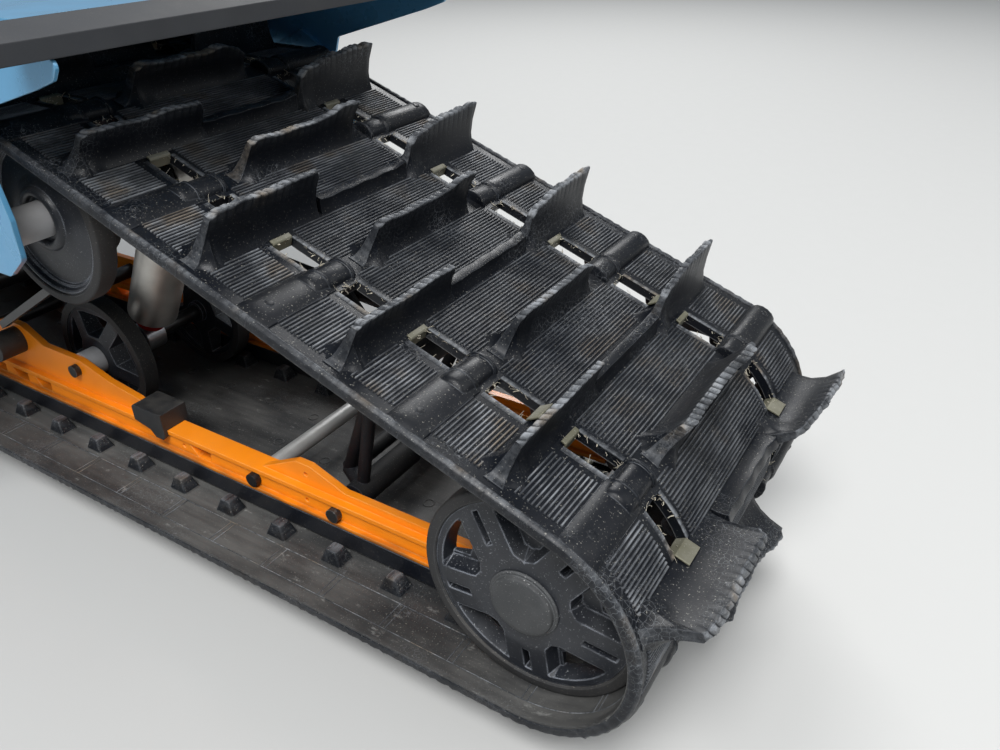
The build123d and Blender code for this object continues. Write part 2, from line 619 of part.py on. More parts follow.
def make_spring_seats():
    """The left collar inside the spring's coil and the round block under its leg."""
    low = SPRING_COIL_RADIUS - SPRING_WIRE / 2 - SEAT_GAP
    high_y = SPRING_INNER_Y + SPRING_TURNS * SPRING_WIRE
    collar = cross_rod(CARRIER_X, CARRIER_Z, low, SPRING_INNER_Y, high_y)
    collar -= cross_rod(CARRIER_X, CARRIER_Z, SLEEVE_RADIUS + SEAT_GAP, 0, BELT_WIDTH)
    outer = RAIL_WEB_FACE + SPRING_SEAT_LENGTH
    block = cross_rod(SPRING_SEAT_X, SPRING_SEAT_Z, SPRING_SEAT_RADIUS, RAIL_WEB_FACE, outer)
    return collar, block


def make_bump_stop():
    """The rubber block that saddles the rail, with a skirt for its cross bolt."""
    half = BUMP_STOP_LENGTH / 2
    top = BUMP_STOP_HEIGHT
    corners = [(-half, top), (half - 3, top), (half, top - 3), (half, top - 20), (-1, top - 25),
               (-8, BUMP_STOP_SKIRT), (4 - half, BUMP_STOP_SKIRT), (-half, BUMP_STOP_SKIRT + 5)]
    width = RAIL_FLANGE_WIDTH + 2 * BUMP_STOP_WALL
    block = across_rail(Pos(BUMP_STOP_X, BELT_INNER_Z) * outline(corners), width)
    block -= across_rail(offset(rail_face(), amount=SEAT_GAP), RAIL_WEB + 2 * SEAT_GAP)
    flange_space = rail_strip(RAIL_FOOT_TOP, RAIL_FLANGE_TOP + SEAT_GAP)
    return block - across_rail(flange_space, RAIL_FLANGE_WIDTH + 2 * SEAT_GAP)


def make_sprocket():
    """The left driver: a disc under the belt with a tooth through each window that it meets."""
    half = (WINDOW_OUTER_Y - WINDOW_INNER_Y) / 2 - 3
    middle = (WINDOW_OUTER_Y + WINDOW_INNER_Y) / 2
    disc = cross_rod(DRIVE_X, DRIVE_AXLE_Z, SPROCKET_RADIUS - SEAT_GAP, middle - half, middle + half)
    arc_start = sum(piece[6] for piece in LOOP_FROM_TOP_RUN[:3])
    first = (arc_start - FIRST_ROD) / ROD_PITCH - (WINDOW_START + WINDOW_END) / 2
    heading = LOOP[4][4] - (1 - first % 1) * 2 * pi / DRIVE_TEETH
    reach = SPROCKET_RADIUS + BELT_THICKNESS - 1
    tooth = outline([(-15, SPROCKET_RADIUS - 12), (-9, reach), (9, reach), (15, SPROCKET_RADIUS - 12)])
    tooth = prism(tooth, middle - half, middle + half)
    for i in range(DRIVE_TEETH):
        angle = -degrees(heading) + 360 * i / DRIVE_TEETH
        disc += Pos(DRIVE_X, 0, DRIVE_AXLE_Z) * Rot(0, angle, 0) * tooth
    return disc - cross_rod(DRIVE_X, DRIVE_AXLE_Z, DRIVE_AXLE_RADIUS + BORE_GAP, 0, BELT_WIDTH)


def tunnel_edge():
    """The rear stretch of the tunnel side's lower edge, from the tail forwards."""
    tail = TUNNEL_REAR_X - TUNNEL_TAIL
    depth = TUNNEL_TOP_Z - TUNNEL_TAIL_DEPTH
    steps = [(12, -3), (36, 5), (168, 42), (175, 62)]
    return [(tail + forward, depth - down) for forward, down in steps]


def tunnel_side_face():
    """A tunnel side in side view: a tapered tail, a straight skirt and a deep front round the drive axle."""
    corners = [
        (TUNNEL_REAR_X - TUNNEL_TAIL, TAIL_BAND_Z - SEAT_GAP),
        *tunnel_edge(),
        (CARRIER_X + 42, CARRIER_Z + 24),
        (CARRIER_X + 60, TUNNEL_SKIRT_Z),
        (DRIVE_X - DRIVE_BAY_LENGTH, TUNNEL_SKIRT_Z),
        (DRIVE_X - DRIVE_BAY_LENGTH / 2, DRIVE_AXLE_Z - TUNNEL_FRONT_DEPTH),
        (DRIVE_X + DRIVE_BAY_LENGTH / 3, DRIVE_AXLE_Z - TUNNEL_FRONT_DEPTH),
        (TUNNEL_FRONT_X, DRIVE_AXLE_Z - TUNNEL_BULKHEAD_DEPTH),
        (TUNNEL_FRONT_X, TUNNEL_TOP_Z),
        (TUNNEL_REAR_X, TUNNEL_TOP_Z),
        (TUNNEL_REAR_X, TAIL_BAND_Z - SEAT_GAP),
    ]
    return outline(corners, 5.0)


def make_tunnel_side():
    """The left side sheet, bored for the front arm's shaft and the drive axle."""
    side = prism(tunnel_side_face(), TUNNEL_HALF_WIDTH, TUNNEL_HALF_WIDTH + SHEET)
    side -= cross_rod(FRONT_ARM_TOP_X, FRONT_ARM_TOP_Z, SHAFT_RADIUS + BORE_GAP, 0, 2 * BELT_WIDTH)
    return side - cross_rod(DRIVE_X, DRIVE_AXLE_Z, BEARING_RADIUS * 0.6, 0, 2 * BELT_WIDTH)


def make_tunnel_top():
    """The flat top sheet with its seat bolt holes."""
    length = TUNNEL_FRONT_X - TUNNEL_REAR_X
    width = 2 * (TUNNEL_HALF_WIDTH + SHEET)
    middle = TUNNEL_REAR_X + length / 2
    top = Pos(middle, 0, TUNNEL_TOP_Z + SHEET / 2) * Box(length, width, SHEET)
    for x in (-SEAT_SPACING_X / 2, SEAT_SPACING_X / 2):
        for y in (-SEAT_SPACING_Y / 2, SEAT_SPACING_Y / 2):
            top -= Pos(middle + x, y, TUNNEL_TOP_Z) * Cylinder(SEAT_HOLE_RADIUS, 4 * SHEET)
    return top


def make_tail_band():
    """The black moulding across the tunnel's rear edge, with a bevelled upper face."""
    rear = TUNNEL_REAR_X - TAIL_BAND_DEPTH
    high = TUNNEL_TOP_Z + SHEET
    low = TAIL_BAND_Z
    front = TUNNEL_REAR_X - SEAT_GAP
    corners = [(rear, low), (rear, low + TAIL_BAND_FACE), (front, high), (front, high - TAIL_BAND_WALL),
               (rear + TAIL_BAND_WALL, low + TAIL_BAND_FACE - TAIL_BAND_WALL), (rear + TAIL_BAND_WALL, low)]
    reach = TUNNEL_HALF_WIDTH + TAIL_BAND_OVERHANG
    return prism(outline(corners), -reach, reach)


def make_front_plate():
    """The cross plate that joins the tunnel to the engine bay, with its four bolt holes."""
    low = DRIVE_AXLE_Z - TUNNEL_BULKHEAD_DEPTH
    height = TUNNEL_TOP_Z - low
    plate = Pos(TUNNEL_FRONT_X - FRONT_PLATE / 2, 0, low + height / 2) * Box(
        FRONT_PLATE, 2 * TUNNEL_HALF_WIDTH, height
    )
    middle = low + height / 2
    for y in (-BULKHEAD_SPACING_Y / 2, BULKHEAD_SPACING_Y / 2):
        for z in (-BULKHEAD_SPACING_Z / 2, BULKHEAD_SPACING_Z / 2):
            hole = Rot(0, 90, 0) * Cylinder(BULKHEAD_HOLE_RADIUS, 4 * FRONT_PLATE)
            plate -= Pos(TUNNEL_FRONT_X, y, middle + z) * hole
    return plate


def make_running_board():
    """The left running board: a slotted sheet with its rear end turned up and narrowed."""
    inner = TUNNEL_HALF_WIDTH + SHEET
    tail = (CARRIER_X + 48, TUNNEL_SKIRT_Z + 3 * BOARD_LIFT)
    wide = (CARRIER_X + 130, TUNNEL_SKIRT_Z + BOARD_LIFT)
    front = (DRIVE_X - DRIVE_BAY_LENGTH, TUNNEL_SKIRT_Z)
    path = [tail, wide, front]
    side = outline(path + [(x, z + SHEET * 1.2) for x, z in reversed(path)])
    board = prism(side, inner, inner + BOARD_WIDTH)
    plan = [
        (tail[0], inner), (front[0], inner), (front[0], inner + BOARD_WIDTH - 20),
        (wide[0] + 40, inner + BOARD_WIDTH), (tail[0], inner + BOARD_TAIL_WIDTH),
    ]
    board &= extrude(make_face(Polyline(*plan, close=True)), amount=TUNNEL_TOP_Z)
    pitch = (front[0] - wide[0] - 60) / BOARD_SLOTS
    half, end = pitch * 0.3, BOARD_SLOT_WIDTH / 2
    slot = Polyline((-half, 0), (end - half, end), (half - end, end), (half, 0), (half - end, -end),
                    (end - half, -end), close=True)
    for i in range(BOARD_SLOTS):
        for row in (0.3, 0.7):
            place = Pos(wide[0] + 50 + i * pitch, inner + row * (BOARD_WIDTH - 20), 0)
            board -= place * extrude(make_face(slot), amount=TUNNEL_TOP_Z)
    return board


def make_drop_bracket():
    """The left plate that hangs from the tunnel side and holds the carrier shaft."""
    inner = TUNNEL_HALF_WIDTH - BRACKET_THICKNESS
    x, z = CARRIER_X, CARRIER_Z
    corners = [
        (x - BRACKET_REACH + 6, z + 60), (x - BRACKET_REACH, z + 26), (x - BRACKET_REACH + 2, z - 9),
        (x - BRACKET_REACH / 2, z - BRACKET_DROP), (x + BRACKET_REACH, z - BRACKET_DROP),
        (x + 2.5 * BRACKET_REACH, z + 60), (x + BRACKET_REACH / 2, z + 110),
    ]
    plate = prism(outline(corners, 8.0), inner, TUNNEL_HALF_WIDTH)
    return plate - cross_rod(x, z, SHAFT_RADIUS + BORE_GAP, 0, 2 * BELT_WIDTH)


def make_drive_axle():
    """The drive axle with a plain end outside each bearing."""
    half = TUNNEL_HALF_WIDTH + SHEET + BEARING_THICKNESS
    axle = cross_rod(DRIVE_X, DRIVE_AXLE_Z, DRIVE_AXLE_RADIUS, -half, half)
    return axle + cross_rod(DRIVE_X, DRIVE_AXLE_Z, AXLE_END_RADIUS, -half - AXLE_END, half + AXLE_END)


def make_bearing():
    """The left axle bearing's round housing on the tunnel side."""
    inner = TUNNEL_HALF_WIDTH + SHEET
    housing = cross_rod(DRIVE_X, DRIVE_AXLE_Z, BEARING_RADIUS, inner, inner + BEARING_THICKNESS)
    return housing - cross_rod(DRIVE_X, DRIVE_AXLE_Z, DRIVE_AXLE_RADIUS + BORE_GAP, 0, 2 * BELT_WIDTH)


def make_spacer(x, z, y_low, y_high):
    """A plain spacer tube on a shaft."""
    tube = cross_rod(x, z, SLEEVE_RADIUS, y_low, y_high)
    return tube - cross_rod(x, z, SHAFT_RADIUS + BORE_GAP, -BELT_WIDTH, BELT_WIDTH)


def make_cap():
    """The plain round cap over an idler's hub."""
    face = WHEEL_OUTER_Y - WHEEL_FACE_STEP + WHEEL_DISH + AXLE_STUB + BORE_GAP
    edge, radius = face + CAP_HEIGHT, CAP_RADIUS
    return turned([(0, face), (radius, face), (radius, edge - 2), (radius - 2, edge), (0, edge)], 0, IDLER_Z)


def pair(solid):
    """A left piece and its mirror image as one node of two separate solids."""
    return Compound([solid, mirrored(solid)])


def build_nodes():
    """Every named piece, laid out from the rear axle."""
    nodes = {"track": make_track()}
    bogie, front_bogie, front_pivot = RAIL_SHAFT_PLACES
    carrier = (CARRIER_X, CARRIER_Z)
    link_head = (LINK_HEAD_X, LINK_HEAD_Z)
    arm_top = (FRONT_ARM_TOP_X, FRONT_ARM_TOP_Z)
    idler_place = (0, IDLER_Z, IDLER_RADIUS, WHEEL_INNER_Y, WHEEL_OUTER_Y)
    carrier_place = (*carrier, CARRIER_RADIUS, WHEEL_INNER_Y, WHEEL_OUTER_Y)
    bogie_place = (*bogie, BOGIE_RADIUS, BOGIE_INNER_Y, BOGIE_OUTER_Y)
    left = {
        "rail": make_rail(),
        "slider": make_slider(),
        "idler_wheel": make_spoked_wheel(*idler_place, REAR_AXLE_RADIUS, IDLER_HUB_RADIUS, IDLER_SPOKE_WIDTH),
        "idler_tyre": make_tyre(*idler_place),
        "carrier_wheel": make_dished_wheel(*carrier_place, SHAFT_RADIUS),
        "carrier_tyre": make_tyre(*carrier_place),
        "bogie_wheel": make_spoked_wheel(*bogie_place, SHAFT_RADIUS, BOGIE_HUB_RADIUS, BOGIE_SPOKE_WIDTH),
        "bogie_tyre": make_tyre(*bogie_place),
        "sprocket": make_sprocket(),
        "tunnel_side": make_tunnel_side(),
        "running_board": make_running_board(),
        "drop_bracket": make_drop_bracket(),
    }
    for name, solid in left.items():
        nodes[name + "_left"] = solid
        nodes[name + "_right"] = mirrored(solid)
    inner_web = RAIL_CENTRE_Y - RAIL_WEB / 2
    carrier_face = (WHEEL_INNER_Y + WHEEL_OUTER_Y) / 2 + 3
    bogie_face = BOGIE_OUTER_Y - WHEEL_FACE_STEP + WHEEL_DISH
    bracket_face = TUNNEL_HALF_WIDTH - BRACKET_THICKNESS
    pairs = {
        "axle_adjusters": make_adjuster(),
        "idler_caps": make_cap(),
        "carrier_spacers": make_spacer(*carrier, carrier_face + BORE_GAP, bracket_face),
        "bogie_spacers": make_spacer(*bogie, bogie_face + BORE_GAP, inner_web),
        "bump_stops": make_bump_stop(),
        "torsion_springs": make_spring(),
        "axle_bearings": make_bearing(),
    }
    for name, solid in pairs.items():
        nodes[name] = pair(solid)
    seats = make_spring_seats()
    nodes["spring_seats"] = Compound([*seats, *(mirrored(seat) for seat in seats)])
    axle_half = WHEEL_OUTER_Y - WHEEL_FACE_STEP + WHEEL_DISH + AXLE_STUB
    nodes["rear_axle"] = cross_rod(0, IDLER_Z, REAR_AXLE_RADIUS, -axle_half, axle_half)
    nodes["carrier_shaft"] = make_shaft(*carrier, SHAFT_RADIUS, TUNNEL_HALF_WIDTH)
    inner_lower = RAIL_CENTRE_Y - RAIL_FOOT_WIDTH / 2
    upper = (SHAFT_RADIUS, inner_web, RAIL_WEB_FACE)
    rail_shafts = [make_clamped_shaft(*place, *upper) for place in RAIL_SHAFT_PLACES]
    lower = (LINK_SHAFT_RADIUS, inner_lower, RAIL_LOWER_FACE)
    rail_shafts.append(make_clamped_shaft(LINK_FOOT_X, BOLT_LINE_Z, *lower))
    link_face = LINK_LEG_Y + LINK_SLEEVE_END
    rail_shafts.append(make_shaft(*link_head, LINK_SHAFT_RADIUS, link_face, LINK_SLEEVE_RADIUS))
    nodes["rail_shafts"] = Compound(rail_shafts)
    nodes["front_arm_shaft"] = make_shaft(*arm_top, SHAFT_RADIUS, TUNNEL_HALF_WIDTH + SHEET)
    cross_place = (CROSS_TUBE_X, BOLT_LINE_Z)
    nodes["cross_tube"] = make_clamped_shaft(*cross_place, CROSS_TUBE_RADIUS, inner_lower, RAIL_LOWER_FACE)
    arm_half = WHEEL_INNER_Y - HUB_STEP - SEAT_GAP
    foot_half = LINK_LEG_Y - LINK_SLEEVE_END - SEAT_GAP
    rear_spreads = (ARM_FOOT_SPREAD - 12, ARM_HEAD_SPREAD)
    nodes["rear_arm"] = make_arm(link_head, carrier, foot_half, arm_half, *rear_spreads, LINK_SHAFT_RADIUS)
    nodes["rear_link"] = make_link()
    front_halves = (inner_web - SEAT_GAP, TUNNEL_HALF_WIDTH - SEAT_GAP)
    front_spreads = (ARM_FOOT_SPREAD, ARM_HEAD_SPREAD + 25)
    nodes["front_arm"] = make_arm(front_pivot, arm_top, *front_halves, *front_spreads, SHAFT_RADIUS)
    rear_shock = make_shock(carrier, bogie, REAR_SHOCK_Y, REAR_SHOCK_SHARE)
    front_shock = make_shock(arm_top, front_bogie, 0, FRONT_SHOCK_SHARE)
    nodes["rear_shock_body"], nodes["rear_shock_rod"] = rear_shock[:2]
    nodes["front_shock_body"], nodes["front_shock_rod"] = front_shock[:2]
    nodes["shock_adjusters"] = Compound([rear_shock[2], front_shock[2]])
    nodes["drive_axle"] = make_drive_axle()
    nodes["tunnel_top"] = make_tunnel_top()
    nodes["tail_band"] = make_tail_band()
    nodes["front_plate"] = make_front_plate()
    return nodes


NODES = build_nodes()
REAR_END = min(solid.bounding_box().min.X for solid in NODES.values())
FRONT_END = max(solid.bounding_box().max.X for solid in NODES.values())
CENTRED = Pos(-(REAR_END + FRONT_END) / 2, 0, 0)

os.makedirs("parts", exist_ok=True)
for name, solid in NODES.items():
    export_step(CENTRED * solid, f"parts/{name}.step")
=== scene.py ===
"""Looks of a snowmobile's rear chassis on its paddle track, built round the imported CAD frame.

Lengths are metres in the frame's own axes: +X forward, +Y the machine's left, +Z up.
"""
import json
import logging
import math
from dataclasses import dataclass, field
from enum import Enum
from random import Random
from typing import Sequence

import bmesh
import bpy
from mathutils import Matrix, Vector


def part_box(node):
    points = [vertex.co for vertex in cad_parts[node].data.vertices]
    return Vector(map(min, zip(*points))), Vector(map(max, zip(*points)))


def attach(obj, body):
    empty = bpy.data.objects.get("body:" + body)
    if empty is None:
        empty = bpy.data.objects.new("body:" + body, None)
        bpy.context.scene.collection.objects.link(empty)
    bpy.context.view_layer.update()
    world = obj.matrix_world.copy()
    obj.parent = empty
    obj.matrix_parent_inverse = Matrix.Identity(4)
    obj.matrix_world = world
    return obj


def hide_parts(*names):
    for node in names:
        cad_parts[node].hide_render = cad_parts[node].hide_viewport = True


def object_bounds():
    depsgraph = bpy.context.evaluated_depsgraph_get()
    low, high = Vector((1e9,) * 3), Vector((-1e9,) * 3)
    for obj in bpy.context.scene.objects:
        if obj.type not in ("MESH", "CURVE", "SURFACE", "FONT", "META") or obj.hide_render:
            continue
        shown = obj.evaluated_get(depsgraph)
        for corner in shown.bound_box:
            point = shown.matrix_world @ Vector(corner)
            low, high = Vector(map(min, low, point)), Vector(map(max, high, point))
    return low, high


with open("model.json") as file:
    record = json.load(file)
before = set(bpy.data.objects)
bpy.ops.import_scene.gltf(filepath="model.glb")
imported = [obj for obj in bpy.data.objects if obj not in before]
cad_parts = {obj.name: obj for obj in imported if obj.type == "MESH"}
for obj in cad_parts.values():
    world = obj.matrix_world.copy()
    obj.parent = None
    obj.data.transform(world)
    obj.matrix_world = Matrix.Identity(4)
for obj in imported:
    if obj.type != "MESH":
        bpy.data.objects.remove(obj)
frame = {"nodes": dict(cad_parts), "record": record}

CAD_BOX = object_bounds()
LOG = logging.getLogger("rear_chassis")
BODY = "root"
Point = tuple[float, float, float]
Colour = tuple[float, float, float]
Socket = bpy.types.NodeSocket


class Side(Enum):
    """The machine's two sides, as the sign of Y."""

    LEFT = 1
    RIGHT = -1

    @property
    def suffix(self) -> str:
        """The side's ending in a node's name."""
        return "_left" if self is Side.LEFT else "_right"


class Graph:
    """Short calls for filling a shader or geometry node tree."""

    def __init__(self, tree: bpy.types.NodeTree) -> None:
        """Keeps the tree that the calls add to.

        Args:
            tree: The node tree to fill.
        """
        self.tree = tree

    def add(self, kind: str, values: dict | None = None, **settings) -> bpy.types.Node:
        """Adds one node, with its settings and its inputs' values or links.

        Args:
            kind: The node's type name.
            values: Inputs by name or number, each a plain value or an output socket to link.
            **settings: The node's own properties.

        Returns:
            The new node.
        """
        node = self.tree.nodes.new(kind)
        for name, value in settings.items():
            setattr(node, name, value)
        for key, value in (values or {}).items():
            socket = node.inputs[key]
            if isinstance(value, Socket):
                self.tree.links.new(value, socket)
            else:
                socket.default_value = value
        return node

    def math(self, operation: str, *values, clamp: bool = False) -> Socket:
        """Adds one Math node.

        Args:
            operation: The operation's name.
            *values: Its inputs in order, numbers or sockets.
            clamp: Whether the result is kept between 0 and 1.

        Returns:
            The result's socket.
        """
        node = self.add("ShaderNodeMath", dict(enumerate(values)), operation=operation, use_clamp=clamp)
        return node.outputs[0]

    def times(self, *values, clamp: bool = False) -> Socket:
        """Multiplies numbers or sockets.

        Args:
            *values: What is multiplied, two or more.
            clamp: Whether the result is kept between 0 and 1.

        Returns:
            The product's socket.
        """
        product = values[0]
        for value in values[1:-1]:
            product = self.math("MULTIPLY", product, value)
        return self.math("MULTIPLY", product, values[-1], clamp=clamp)

    def place(self) -> Socket:
        """Gives the place in the object's own axes.

        Returns:
            The place's socket.
        """
        return self.add("ShaderNodeTexCoord").outputs["Object"]

    def part(self, vector: Socket, index: int) -> Socket:
        """Takes one part of a vector.

        Args:
            vector: The vector's socket.
            index: 0 for X, 1 for Y or 2 for Z.

        Returns:
            The part's socket.
        """
        return self.add("ShaderNodeSeparateXYZ", {0: vector}).outputs[index]

    def noise(self, vector: Socket, scale: float | Socket, detail: float = 2.0,
              roughness: float = 0.5, stretch: Point | None = None) -> Socket:
        """Adds a noise texture.

        Args:
            vector: Where the noise is read.
            scale: How fine it is.
            detail: How many finer layers it has.
            roughness: How strong the finer layers are.
            stretch: Factors on the place, below 1 where the noise is drawn out, or None.

        Returns:
            The value's socket.
        """
        if stretch:
            vector = self.vector("MULTIPLY", vector, stretch)
        values = {"Vector": vector, "Scale": scale, "Detail": detail, "Roughness": roughness}
        return self.add("ShaderNodeTexNoise", values).outputs[0]

    def vector(self, operation: str, *values) -> Socket:
        """Adds one Vector Math node.

        Args:
            operation: The operation's name.
            *values: Its inputs in order, vectors or sockets.

        Returns:
            The result's socket.
        """
        node = self.add("ShaderNodeVectorMath", dict(enumerate(values)), operation=operation)
        return node.outputs[1] if operation in ("DOT_PRODUCT", "LENGTH", "DISTANCE") else node.outputs[0]

    def ramp(self, value, low, high, start: float = 0.0, end: float = 1.0) -> Socket:
        """Maps a value smoothly from one range to another.

        Args:
            value: The socket to map.
            low: The value that gives start, a number or a socket.
            high: The value that gives end, a number or a socket.
            start: The result at low.
            end: The result at high.

        Returns:
            The result's socket.
        """
        values = {"Value": value, "From Min": low, "From Max": high, "To Min": start, "To Max": end}
        return self.add("ShaderNodeMapRange", values, interpolation_type="SMOOTHSTEP").outputs[0]

    def mix(self, factor, first, second) -> Socket:
        """Blends two colours.

        Args:
            factor: How much of the second colour, a number or a socket.
            first: The first colour, or its socket.
            second: The second colour, or its socket.

        Returns:
            The blended colour's socket.
        """
        node = self.add("ShaderNodeMix", data_type="RGBA")
        for index, value in ((0, factor), (6, first), (7, second)):
            if isinstance(value, Socket):
                self.tree.links.new(value, node.inputs[index])
            else:
                node.inputs[index].default_value = (*value, 1.0) if index else value
        return node.outputs[2]


def new_group(name: str, inputs: dict[str, float], outputs: dict[str, str]) -> tuple[Graph, dict, dict]:
    """Makes an empty shader node group with named sockets.

    Args:
        name: The group's name.
        inputs: Each input's name with its default value.
        outputs: Each output's name with its socket type.

    Returns:
        The group's graph, its input sockets by name and its output sockets by name.
    """
    tree = bpy.data.node_groups.new(name, "ShaderNodeTree")
    for label, value in inputs.items():
        socket = tree.interface.new_socket(label, in_out="INPUT", socket_type="NodeSocketFloat")
        socket.default_value = value
    for label, kind in outputs.items():
        tree.interface.new_socket(label, in_out="OUTPUT", socket_type=kind)
    graph = Graph(tree)
    source = graph.add("NodeGroupInput")
    target = graph.add("NodeGroupOutput")
    return graph, {s.name: s for s in source.outputs}, {s.name: s for s in target.inputs}


def make_dust_group() -> bpy.types.NodeTree:
    """Makes the group for settled dust: more on upward faces, in patches and fine specks.

    Returns:
        The group, which puts out the masks Dust and Specks.
    """
    graph, given, result = new_group(
        "Settled dust",
        {"Amount": 0.5, "Patch scale": 14.0, "Speck scale": 700.0, "Speck amount": 0.3},
        {"Dust": "NodeSocketFloat", "Specks": "NodeSocketFloat"},
    )
    place = graph.place()
    normal = graph.add("ShaderNodeNewGeometry").outputs["Normal"]
    upward = graph.vector("DOT_PRODUCT", normal, (0.0, 0.0, 1.0))
    facing = graph.ramp(upward, -0.3, 0.9, 0.25, 1.0)
    patches = graph.ramp(graph.noise(place, given["Patch scale"], 6.0, 0.62), 0.36, 0.68)
    dots = graph.ramp(graph.noise(place, given["Speck scale"]), 0.64, 0.73)
    dust = graph.times(facing, patches, given["Amount"], clamp=True)
    specks = graph.times(dots, facing, given["Speck amount"], clamp=True)
    graph.tree.links.new(dust, result["Dust"])
    graph.tree.links.new(specks, result["Specks"])
    return graph.tree


def make_edge_group() -> bpy.types.NodeTree:
    """Makes the group for worn edges and for the painted highlight along the wheels' and slider's edges, from
    the difference between the true and a rounded normal.

    Returns:
        The group, which puts out the mask Wear and the rounded Normal.
    """
    graph, given, result = new_group(
        "Edge wear and highlight",
        {"Radius": 0.002, "Amount": 1.0, "Breakup scale": 60.0},
        {"Wear": "NodeSocketFloat", "Normal": "NodeSocketVector"},
    )
    rounded = graph.add("ShaderNodeBevel", {"Radius": given["Radius"]}, samples=4).outputs[0]
    true = graph.add("ShaderNodeNewGeometry").outputs["Normal"]
    bend = graph.math("SUBTRACT", 1.0, graph.vector("DOT_PRODUCT", rounded, true))
    noise = graph.noise(graph.place(), given["Breakup scale"], 5.0)
    breakup = graph.ramp(noise, 0.38, 0.6, 0.25, 1.0)
    wear = graph.times(graph.ramp(bend, 0.01, 0.16), breakup, given["Amount"], clamp=True)
    graph.tree.links.new(wear, result["Wear"])
    graph.tree.links.new(rounded, result["Normal"])
    return graph.tree


def make_grain_group() -> bpy.types.NodeTree:
    """Makes the group for a fine moulded or cast grain.

    Returns:
        The group, which puts out Height for a bump and Tone for small colour changes.
    """
    graph, given, result = new_group(
        "Moulded grain",
        {"Grain scale": 900.0, "Wave scale": 30.0},
        {"Height": "NodeSocketFloat", "Tone": "NodeSocketFloat"},
    )
    place = graph.place()
    fine = graph.noise(place, given["Grain scale"], 3.0)
    wave = graph.noise(place, given["Wave scale"], 4.0)
    height = graph.math("MULTIPLY_ADD", wave, 0.6, graph.times(fine, 0.4))
    graph.tree.links.new(height, result["Height"])
    graph.tree.links.new(wave, result["Tone"])
    return graph.tree


DUST_GROUP = make_dust_group()
EDGE_GROUP = make_edge_group()
GRAIN_GROUP = make_grain_group()


@dataclass(frozen=True)
class Finish:
    """One finish: a base colour under wear, dust and grain.

    Attributes:
        name: The material's name.
        colour: The clean surface's colour.
        worn: The colour where edges are rubbed; on the wheels and the slider it is a painted highlight along
            the edges instead.
        dust: The dust's colour.
        metallic: How metallic the surface is.
        roughness: The clean surface's roughness.
        edge_radius: How far wear reaches from an edge.
        edge_amount: How strong the edge wear is, and on the wheels and the slider the painted edge highlight.
        dust_amount: How much dust lies on upward faces.
        speck_amount: How many pale specks show.
        grain_scale: The grain's fineness.
        bump: The grain's depth.
        coat: The weight of a clear coat.
        variation: How far the colour varies from place to place.
        specular: How strongly the surface reflects, 0.5 for most plastics.
    """

    BUMP_DISTANCE = 0.0006
    SPECK_LIGHT = 1.8
    DUST_ROUGHNESS = 0.35
    TONE_ROUGHNESS = 0.06

    name: str
    colour: Colour
    worn: Colour = (0.25, 0.25, 0.25)
    dust: Colour = (0.22, 0.2, 0.17)
    metallic: float = 0.0
    roughness: float = 0.5
    edge_radius: float = 0.0015
    edge_amount: float = 0.6
    dust_amount: float = 0.3
    speck_amount: float = 0.2
    grain_scale: float = 900.0
    bump: float = 0.15
    coat: float = 0.0
    variation: float = 0.15
    specular: float = 0.5

    def build(self) -> bpy.types.Material:
        """Makes the finish's material, or gives the one that is there already.

        Returns:
            The material.
        """
        known = bpy.data.materials.get(self.name)
        if known:
            return known
        material = bpy.data.materials.new(self.name)
        material.use_nodes = True
        material.node_tree.nodes.clear()
        graph = Graph(material.node_tree)
        colour, rough, normal = self.surface(graph)
        values = {"Base Color": colour, "Roughness": rough, "Normal": normal, "Metallic": self.metallic,
                  "Coat Weight": self.coat, "Specular IOR Level": self.specular}
        shader = graph.add("ShaderNodeBsdfPrincipled", values)
        graph.add("ShaderNodeOutputMaterial", {"Surface": shader.outputs[0]})
        return material

    def surface(self, graph: Graph) -> tuple[Socket, Socket, Socket]:
        """Adds the shared effects.

        Args:
            graph: The material's graph.

        Returns:
            The colour, roughness and normal sockets.
        """
        edge = graph.add("ShaderNodeGroup", node_tree=EDGE_GROUP)
        edge.inputs["Radius"].default_value = self.edge_radius
        edge.inputs["Amount"].default_value = self.edge_amount
        dust = graph.add("ShaderNodeGroup", node_tree=DUST_GROUP)
        dust.inputs["Amount"].default_value = self.dust_amount
        dust.inputs["Speck amount"].default_value = self.speck_amount
        grain = graph.add("ShaderNodeGroup", node_tree=GRAIN_GROUP)
        grain.inputs["Grain scale"].default_value = self.grain_scale
        tone = grain.outputs["Tone"]
        dark, light, speck = (tuple(min(1.0, factor * part) for part in colour) for factor, colour in (
            (1.0 - self.variation, self.colour), (1.0 + self.variation, self.colour),
            (self.SPECK_LIGHT, self.dust)))
        base = graph.mix(graph.ramp(tone, 0.25, 0.75), dark, light)
        # Worn edges; on the wheels and the slider this paints a highlight along the rounded edges.
        worn = graph.mix(edge.outputs["Wear"], base, self.worn)
        dusty = graph.mix(dust.outputs["Dust"], worn, self.dust)
        specked = graph.mix(dust.outputs["Specks"], dusty, speck)
        dull = graph.math("MULTIPLY_ADD", dust.outputs["Dust"], self.DUST_ROUGHNESS, self.roughness)
        uneven = graph.ramp(tone, 0.2, 0.8, -self.TONE_ROUGHNESS, self.TONE_ROUGHNESS)
        rough = graph.math("ADD", dull, uneven, clamp=True)
        bump = graph.add("ShaderNodeBump", {"Strength": self.bump, "Distance": self.BUMP_DISTANCE,
                                            "Height": grain.outputs["Height"],
                                            "Normal": edge.outputs["Normal"]})
        return specked, rough, bump.outputs[0]


